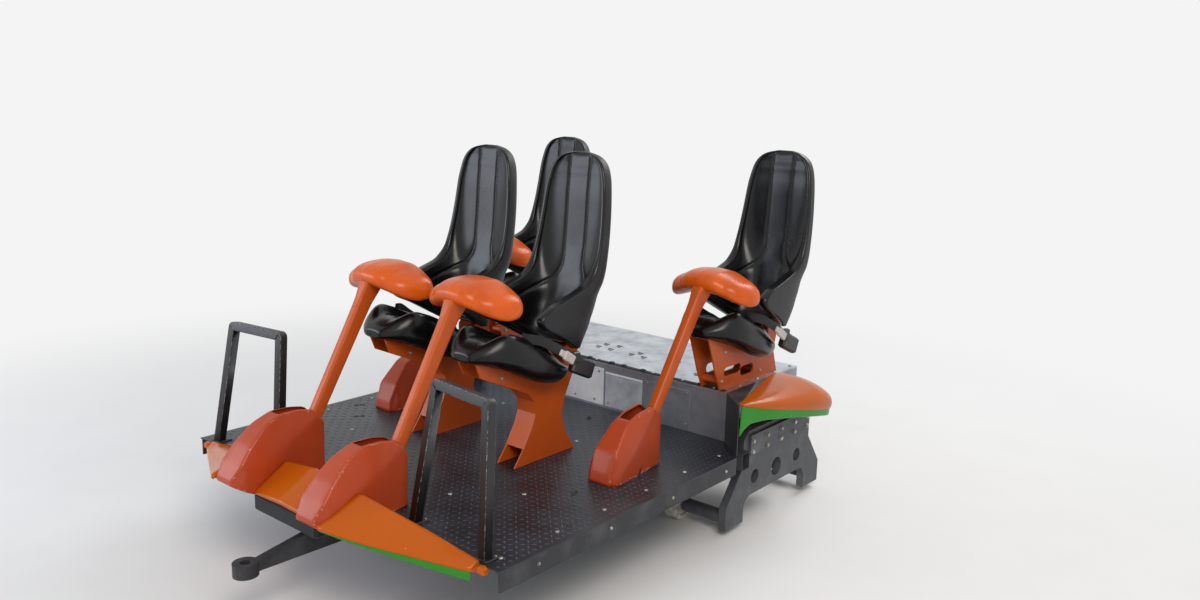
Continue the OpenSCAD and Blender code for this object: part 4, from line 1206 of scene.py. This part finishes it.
strap = webbing()
buckle_grey = moulded_plastic("pale_moulded_nylon", "C9C2BD", "B3ABA5")
anchor_black = moulded_plastic("black_moulded_nylon", "121214", "1E1E21")
buckle_turn = (0.327, 0.488)
buckle_form = gathered([
    tilted(slab(Vector((0.292, 0.198, 0.468)), Vector((0.362, 0.214, 0.508)), 0.004), buckle_turn, 32),
    tilted(slab(Vector((0.352, 0.199, 0.474)), Vector((0.392, 0.211, 0.502)), 0.003), buckle_turn, 32)
])
anchor_turn = (0.220, 0.424)
anchor_form = gathered([
    tilted(slab(Vector((0.150, 0.168, 0.385)), Vector((0.292, 0.204, 0.462)), 0.008), anchor_turn, 24),
    tilted(slab(Vector((0.262, 0.186, 0.452)), Vector((0.312, 0.211, 0.498)), 0.005), anchor_turn, 6)
])
for row, (x, y) in seats.items():
    for side, word in both_sides:
        made(f"belt_{row}_{word}", *placed(belt(), x, y, side), strap, "car")
        made(f"belt_buckle_{row}_{word}", *placed(buckle_form, x, y, side), buckle_grey, "car",
             smooth=False)
        made(f"belt_anchor_{row}_{word}", *placed(anchor_form, x, y, side), anchor_black, "car",
             smooth=False)


# The bar covers: pressed steel boxes over the bars' pivots, bolted to the deck. Each leans in
# toward its top, with a creased side and a slot that lets the stem swing.
brick_paint = stand_paint("brick_orange_paint", "BE4A22", "A33A18")
# Each cover's place, and its bar's backward lean in degrees.
bars = {"inner": (1.045, 0.268, 30), "outer": (0.008, 0.705, 34)}
# Side views from the rear foot over the top to the toe, in metres from the cover's rear.
cover_profiles = {
    "inner": [(0.0, 0.0), (-0.004, 0.214), (0.047, 0.270), (0.113, 0.284), (0.199, 0.287), (0.275, 0.254),
              (0.340, 0.195), (0.396, 0.128), (0.430, 0.076), (0.430, 0.058), (0.372, 0.022),
              (0.326, 0.0)],
    "outer": [(0.0, 0.0), (-0.004, 0.214), (0.060, 0.266), (0.165, 0.252), (0.235, 0.222), (0.320, 0.128),
              (0.354, 0.044), (0.360, 0.0)]
}
# The crease on a cover's side: a place on it, its fall along the car in degrees, and the lean of
# the side beyond it.
cover_creases = {"inner": (0.190, 0.168, 25, 0.26), "outer": (0.060, 0.266, 41.5, 0.34)}
# The slot for the stem: half its width, its foot on the cover's rear and its front end on top.
slot_half, slot_foot, slot_front = 0.027, 0.096, 0.200


def cover_side(row, x, z):
    """Half width of a cover at a place on its side."""
    # In plan it widens from its rear to 160 mm, and draws in again over the last 34 mm of its toe.
    reach = max(p[0] for p in cover_profiles[row])
    plan = min(0.038 + 0.127 * (x + 0.010), 0.080) - 0.7 * max(0.0, x - (reach - 0.034))
    crease_x, crease_z, fall, lean = cover_creases[row]
    fall = math.radians(fall)
    beyond = (x - crease_x) * math.sin(fall) + (z - crease_z) * math.cos(fall)
    # The fold is rounded over a few millimetres.
    soft = 0.006
    beyond = (beyond + math.sqrt(beyond * beyond + soft * soft)) / 2
    return plan - lean * beyond


def cover_form(row):
    """The cover's outer skin as points, faces and each point's rub, with its slot left open."""
    outline = rounded_path([Vector((x, 0, z)) for x, z in cover_profiles[row]], 0.016, 4)
    fine = []
    for a, b in zip(outline, outline[1:]):
        cuts = max(1, int((b - a).length / 0.010))
        fine += [a + (b - a) * k / cuts for k in range(cuts)]
    fine.append(outline[-1])
    centre = Vector((0.165, 0, 0.0))
    rows = []
    rubs = []
    for i, here in enumerate(fine):
        ahead = (fine[min(i + 1, len(fine) - 1)] - fine[max(i - 1, 0)]).normalized()
        inward = Vector((ahead.z, 0, -ahead.x))
        wide = max(cover_side(row, here.x, here.z), 0.012)
        radius = min(0.008, max(wide - 0.0285, 0.003))
        right = []
        worn = []
        for y in (0.0, 0.010, 0.019, 0.028):
            right.append((here.x, min(y, (wide - radius) * y / 0.028), here.z))
            worn.append(0.0)
        for k in range(5):
            a = math.pi / 2 * k / 4
            p = here + inward * radius * (1 - math.cos(a))
            right.append((p.x, wide - radius + radius * math.sin(a), p.z))
            worn.append(0.55 - 0.25 * abs(k - 2) / 2)
        edge = here + inward * radius
        for share in (0.05, 0.12, 0.2, 0.28, 0.37, 0.46, 0.56, 0.66, 0.76, 0.86, 0.95):
            p = edge + (centre - edge) * share
            z = max(p.z, 0.0)
            right.append((p.x, cover_side(row, p.x, z), z))
            worn.append(0.8 if z < 0.012 else 0.0)
        strip = [(x, -y, z) for x, y, z in reversed(right[1:])] + right
        rows.append([Vector(p) for p in strip])
        rubs.extend(list(reversed(worn[1:])) + worn)
    points, faces = lofted(rows, closed=False, capped=False)
    kept = []
    for f in faces:
        x = sum(points[i].x for i in f) / 4
        y = sum(points[i].y for i in f) / 4
        z = sum(points[i].z for i in f) / 4
        in_slot = abs(y) < slot_half and z > slot_foot and x < slot_front
        if not in_slot:
            kept.append(f)
    return points, kept, rubs


for row, (x, y, lean) in bars.items():
    cover_points, cover_faces, cover_rub = cover_form(row)
    for side, word in both_sides:
        cover = made(f"bar_cover_{row}_{word}", *placed((cover_points, cover_faces), x, y, side),
                     brick_paint, "car")
        with_rub(cover, cover_rub)
        skin = cover.modifiers.new("sheet", "SOLIDIFY")
        skin.thickness = 0.004
        skin.offset = -1.0
        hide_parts("bar_covers")


# The lap bars: a welded box-section stem on a pin, and a moulded T-shaped pad bonded to its
# upper end. The pad is a tough orange skin over foam, scuffed dull along its grip.
# Distance from the pivot along a stem, its half depth and its half width, in metres.
stem_sections = [
    [-0.0295, 0.007, 0.0210],
    [-0.0240, 0.018, 0.0218],
    [-0.0140, 0.0265, 0.0220],
    [0.0, 0.030, 0.0220],
    [0.060, 0.026, 0.0220],
    [0.150, 0.027, 0.0220],
    [0.560, 0.032, 0.0220],
    [0.700, 0.035, 0.0225],
    [0.780, 0.042, 0.0300],
    [0.832, 0.045, 0.0340]
]


def bar_stem(lean):
    """A stem from its pivot, leaning back, and each point's rub."""
    lean = math.radians(lean)
    rings = []
    rub = []
    stations = [-0.0295, -0.027, -0.024, -0.019, -0.014, -0.007, 0.0]
    stations += [stem_sections[-1][0] * i / 46 for i in range(1, 47)]
    for far in stations:
        deep, wide = between(stem_sections, far)[1:]
        outline = tube_outline(deep, wide, min(0.012, deep * 0.8), 5)
        rings.append([Vector((-far * math.sin(lean) + u * math.cos(lean), v,
                              far * math.cos(lean) + u * math.sin(lean))) for u, v, _ in outline])
        rub.extend(0.3 * r for _, _, r in outline)
    points, faces = lofted(rings)
    return points, [tuple(reversed(f)) for f in faces], rub


# A bar's pivot: its place ahead of its cover's rear, and its height over the deck.
pin_x, pin_z = 0.108, 0.070
for row, (x, y, lean) in bars.items():
    stem_points, stem_faces, stem_rub = bar_stem(lean)
    lifted = [p + Vector((0, 0, pin_z)) for p in stem_points]
    for side, word in both_sides:
        stem = made(f"bar_tube_{row}_{word}", *placed((lifted, stem_faces), x + pin_x, y, side),
                    orange_paint, f"lap_bar_{row}_{word}")
        with_rub(stem, stem_rub)
        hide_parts(f"bar_stem_{row}_{word}")

orange_skin = seat_skin("self_skinned_foam_orange", "D95C10", "BC4808", 0.20)

# Share of the half width, middle of the pad from the stem's end, half depth and half height.
pad_sections = [
    [0.0, -0.018, -0.062, 0.124, 0.054],
    [0.30, -0.022, -0.068, 0.122, 0.054],
    [0.50, -0.028, -0.081, 0.114, 0.052],
    [0.66, -0.034, -0.095, 0.104, 0.050],
    [0.82, -0.042, -0.109, 0.088, 0.047],
    [0.94, -0.056, -0.125, 0.060, 0.038],
    [1.00, -0.066, -0.136, 0.024, 0.017]
]
pad_half = 0.212
# The pad is drawn for a bar that leans by drawn_lean, and turned to each bar's own lean.
drawn_lean = math.radians(32)
stem_reach = 0.905
stem_end = (-stem_reach * math.sin(drawn_lean), stem_reach * math.cos(drawn_lean))


def pad_ring(share):
    """One section across a pad. A shallow groove on each side marks where the hands hold it."""
    x, z, depth, height = between(pad_sections, abs(share))[1:]
    y = share * pad_half
    groove = 0.09 * math.exp(-((abs(y) - 0.116) / 0.018) ** 2)
    ring = []
    for i in range(64):
        a = 2 * math.pi * i / 64
        turn = (a + math.pi) % (2 * math.pi) - math.pi
        cut = 1 - groove * math.exp(-((turn - 0.7) / 0.9) ** 2)
        c, s = math.cos(a), math.sin(a)
        ring.append(Vector((stem_end[0] + x + depth * cut * math.copysign(abs(c) ** 0.85, c), y,
                            stem_end[1] + z + height * cut * math.copysign(abs(s) ** 0.85, s))))
    return ring


pad_points, pad_faces = lofted([pad_ring(-1 + 2 * i / 96) for i in range(97)])
for row, (x, y, lean) in bars.items():
    turn = drawn_lean - math.radians(lean)
    swung = [Vector((p.x * math.cos(turn) + p.z * math.sin(turn), p.y,
                     -p.x * math.sin(turn) + p.z * math.cos(turn) + pin_z)) for p in pad_points]
    for side, word in both_sides:
        pad = made(f"lap_pad_{row}_{word}", *placed((swung, pad_faces), x + pin_x, y, side),
                   orange_skin, f"lap_bar_{row}_{word}")
        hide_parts(f"bar_pad_{row}_{word}")


# The studio: a pale floor at the lowest wheel, soft lamps at plain level, and the camera at the
# photograph's angle, ahead of the car and to its left.
def seen_directly(tree):
    """1 on rays that show a thing, straight or in a mirror or glass, and 0 on rays that light it."""
    rays = add(tree, "ShaderNodeLightPath", {}).outputs
    seen = rays["Is Camera Ray"]
    for kind in ("Is Glossy Ray", "Is Transmission Ray"):
        seen = add(tree, "ShaderNodeMath", {0: seen, 1: rays[kind]}, operation="MAXIMUM")
    return seen


def studio_floor():
    # Matt pale floor paint with the faintest mottling. Away from the car it fades into the backdrop.
    finish, tree, shader, place = new_finish("pale_studio_floor")
    tint = patches(tree, place, 1000 / 3, ("F3F2F0", "ECEBE9"))[1]
    feed(tree, shader, {"Base Color": tint, "Roughness": 0.85})
    glow = add(tree, "ShaderNodeEmission", {"Color": linear("F4F4F4"), "Strength": 1.0})
    away = add(tree, "ShaderNodeVectorMath", {0: place}, operation="LENGTH").outputs["Value"]
    far = add(tree, "ShaderNodeMapRange", {"Value": away, "From Min": 2.0, "From Max": 5.5},
              interpolation_type="SMOOTHSTEP")
    share = add(tree, "ShaderNodeMath", {0: far, 1: seen_directly(tree)}, operation="MULTIPLY")
    mixed = add(tree, "ShaderNodeMixShader", {0: share, 1: shader, 2: glow})
    feed(tree, tree.nodes["Material Output"], {"Surface": mixed})
    return finish


floor_mesh = bpy.data.meshes.new("studio_floor")
floor_corners = [(x, y, cad_low.z) for x, y in ((-30, -30), (30, -30), (30, 30), (-30, 30))]
floor_mesh.from_pydata(floor_corners, [], [(0, 1, 2, 3)])
floor_mesh.materials.append(studio_floor())
floor = bpy.data.objects.new("studio_floor", floor_mesh)
bpy.context.scene.collection.objects.link(floor)

world = bpy.data.worlds.new("studio")
bpy.context.scene.world = world
world.use_nodes = True
world_tree = world.node_tree
ambient = world_tree.nodes["Background"]
feed(world_tree, ambient, {"Color": linear("E8ECF2"), "Strength": 0.50})
backdrop = add(world_tree, "ShaderNodeBackground", {"Color": linear("F4F4F4"), "Strength": 1.0})
mixed = add(world_tree, "ShaderNodeMixShader", {0: seen_directly(world_tree), 1: ambient, 2: backdrop})
feed(world_tree, world_tree.nodes["World Output"], {"Surface": mixed})


def lamp(name, place, target, width, power, colour):
    """A soft rectangular lamp aimed at a point. The power is in watts."""
    light = bpy.data.lights.new(name, "AREA")
    light.shape = "RECTANGLE"
    light.size = width
    light.size_y = width * 0.7
    light.energy = power
    light.color = linear(colour)[:3]
    obj = bpy.data.objects.new(name, light)
    obj.location = place
    obj.rotation_euler = (Vector(target) - Vector(place)).to_track_quat("-Z", "Y").to_euler()
    bpy.context.scene.collection.objects.link(obj)


lamp("key_lamp", (3.5, 4.5, 5.2), (0, 0, 0.7), 3.6, 240, "FFF8F0")
lamp("fill_lamp", (4.9, -4.2, 2.3), (-0.3, 0.2, 1.1), 3.6, 140, "E8F0FF")
lamp("back_lamp", (-4.5, 1.0, 4.5), (0, 0, 0.9), 3.2, 130, "FFFFFF")

view_data = bpy.data.cameras.new("photo_view")
view_data.lens = 30.04
view_data.sensor_width = 36.0
view_data.clip_end = 200.0
photo_view = bpy.data.objects.new("photo_view", view_data)
photo_view.location = (3.198, 3.170, 2.000)
look = Vector((-0.75501, -0.62344, -0.20317))
tilt = Quaternion((0, 0, 1), 0.0258)
photo_view.rotation_euler = (look.to_track_quat("-Z", "Y") @ tilt).to_euler()
bpy.context.scene.collection.objects.link(photo_view)
bpy.context.scene.camera = photo_view
bpy.context.scene.view_settings.view_transform = "Standard"
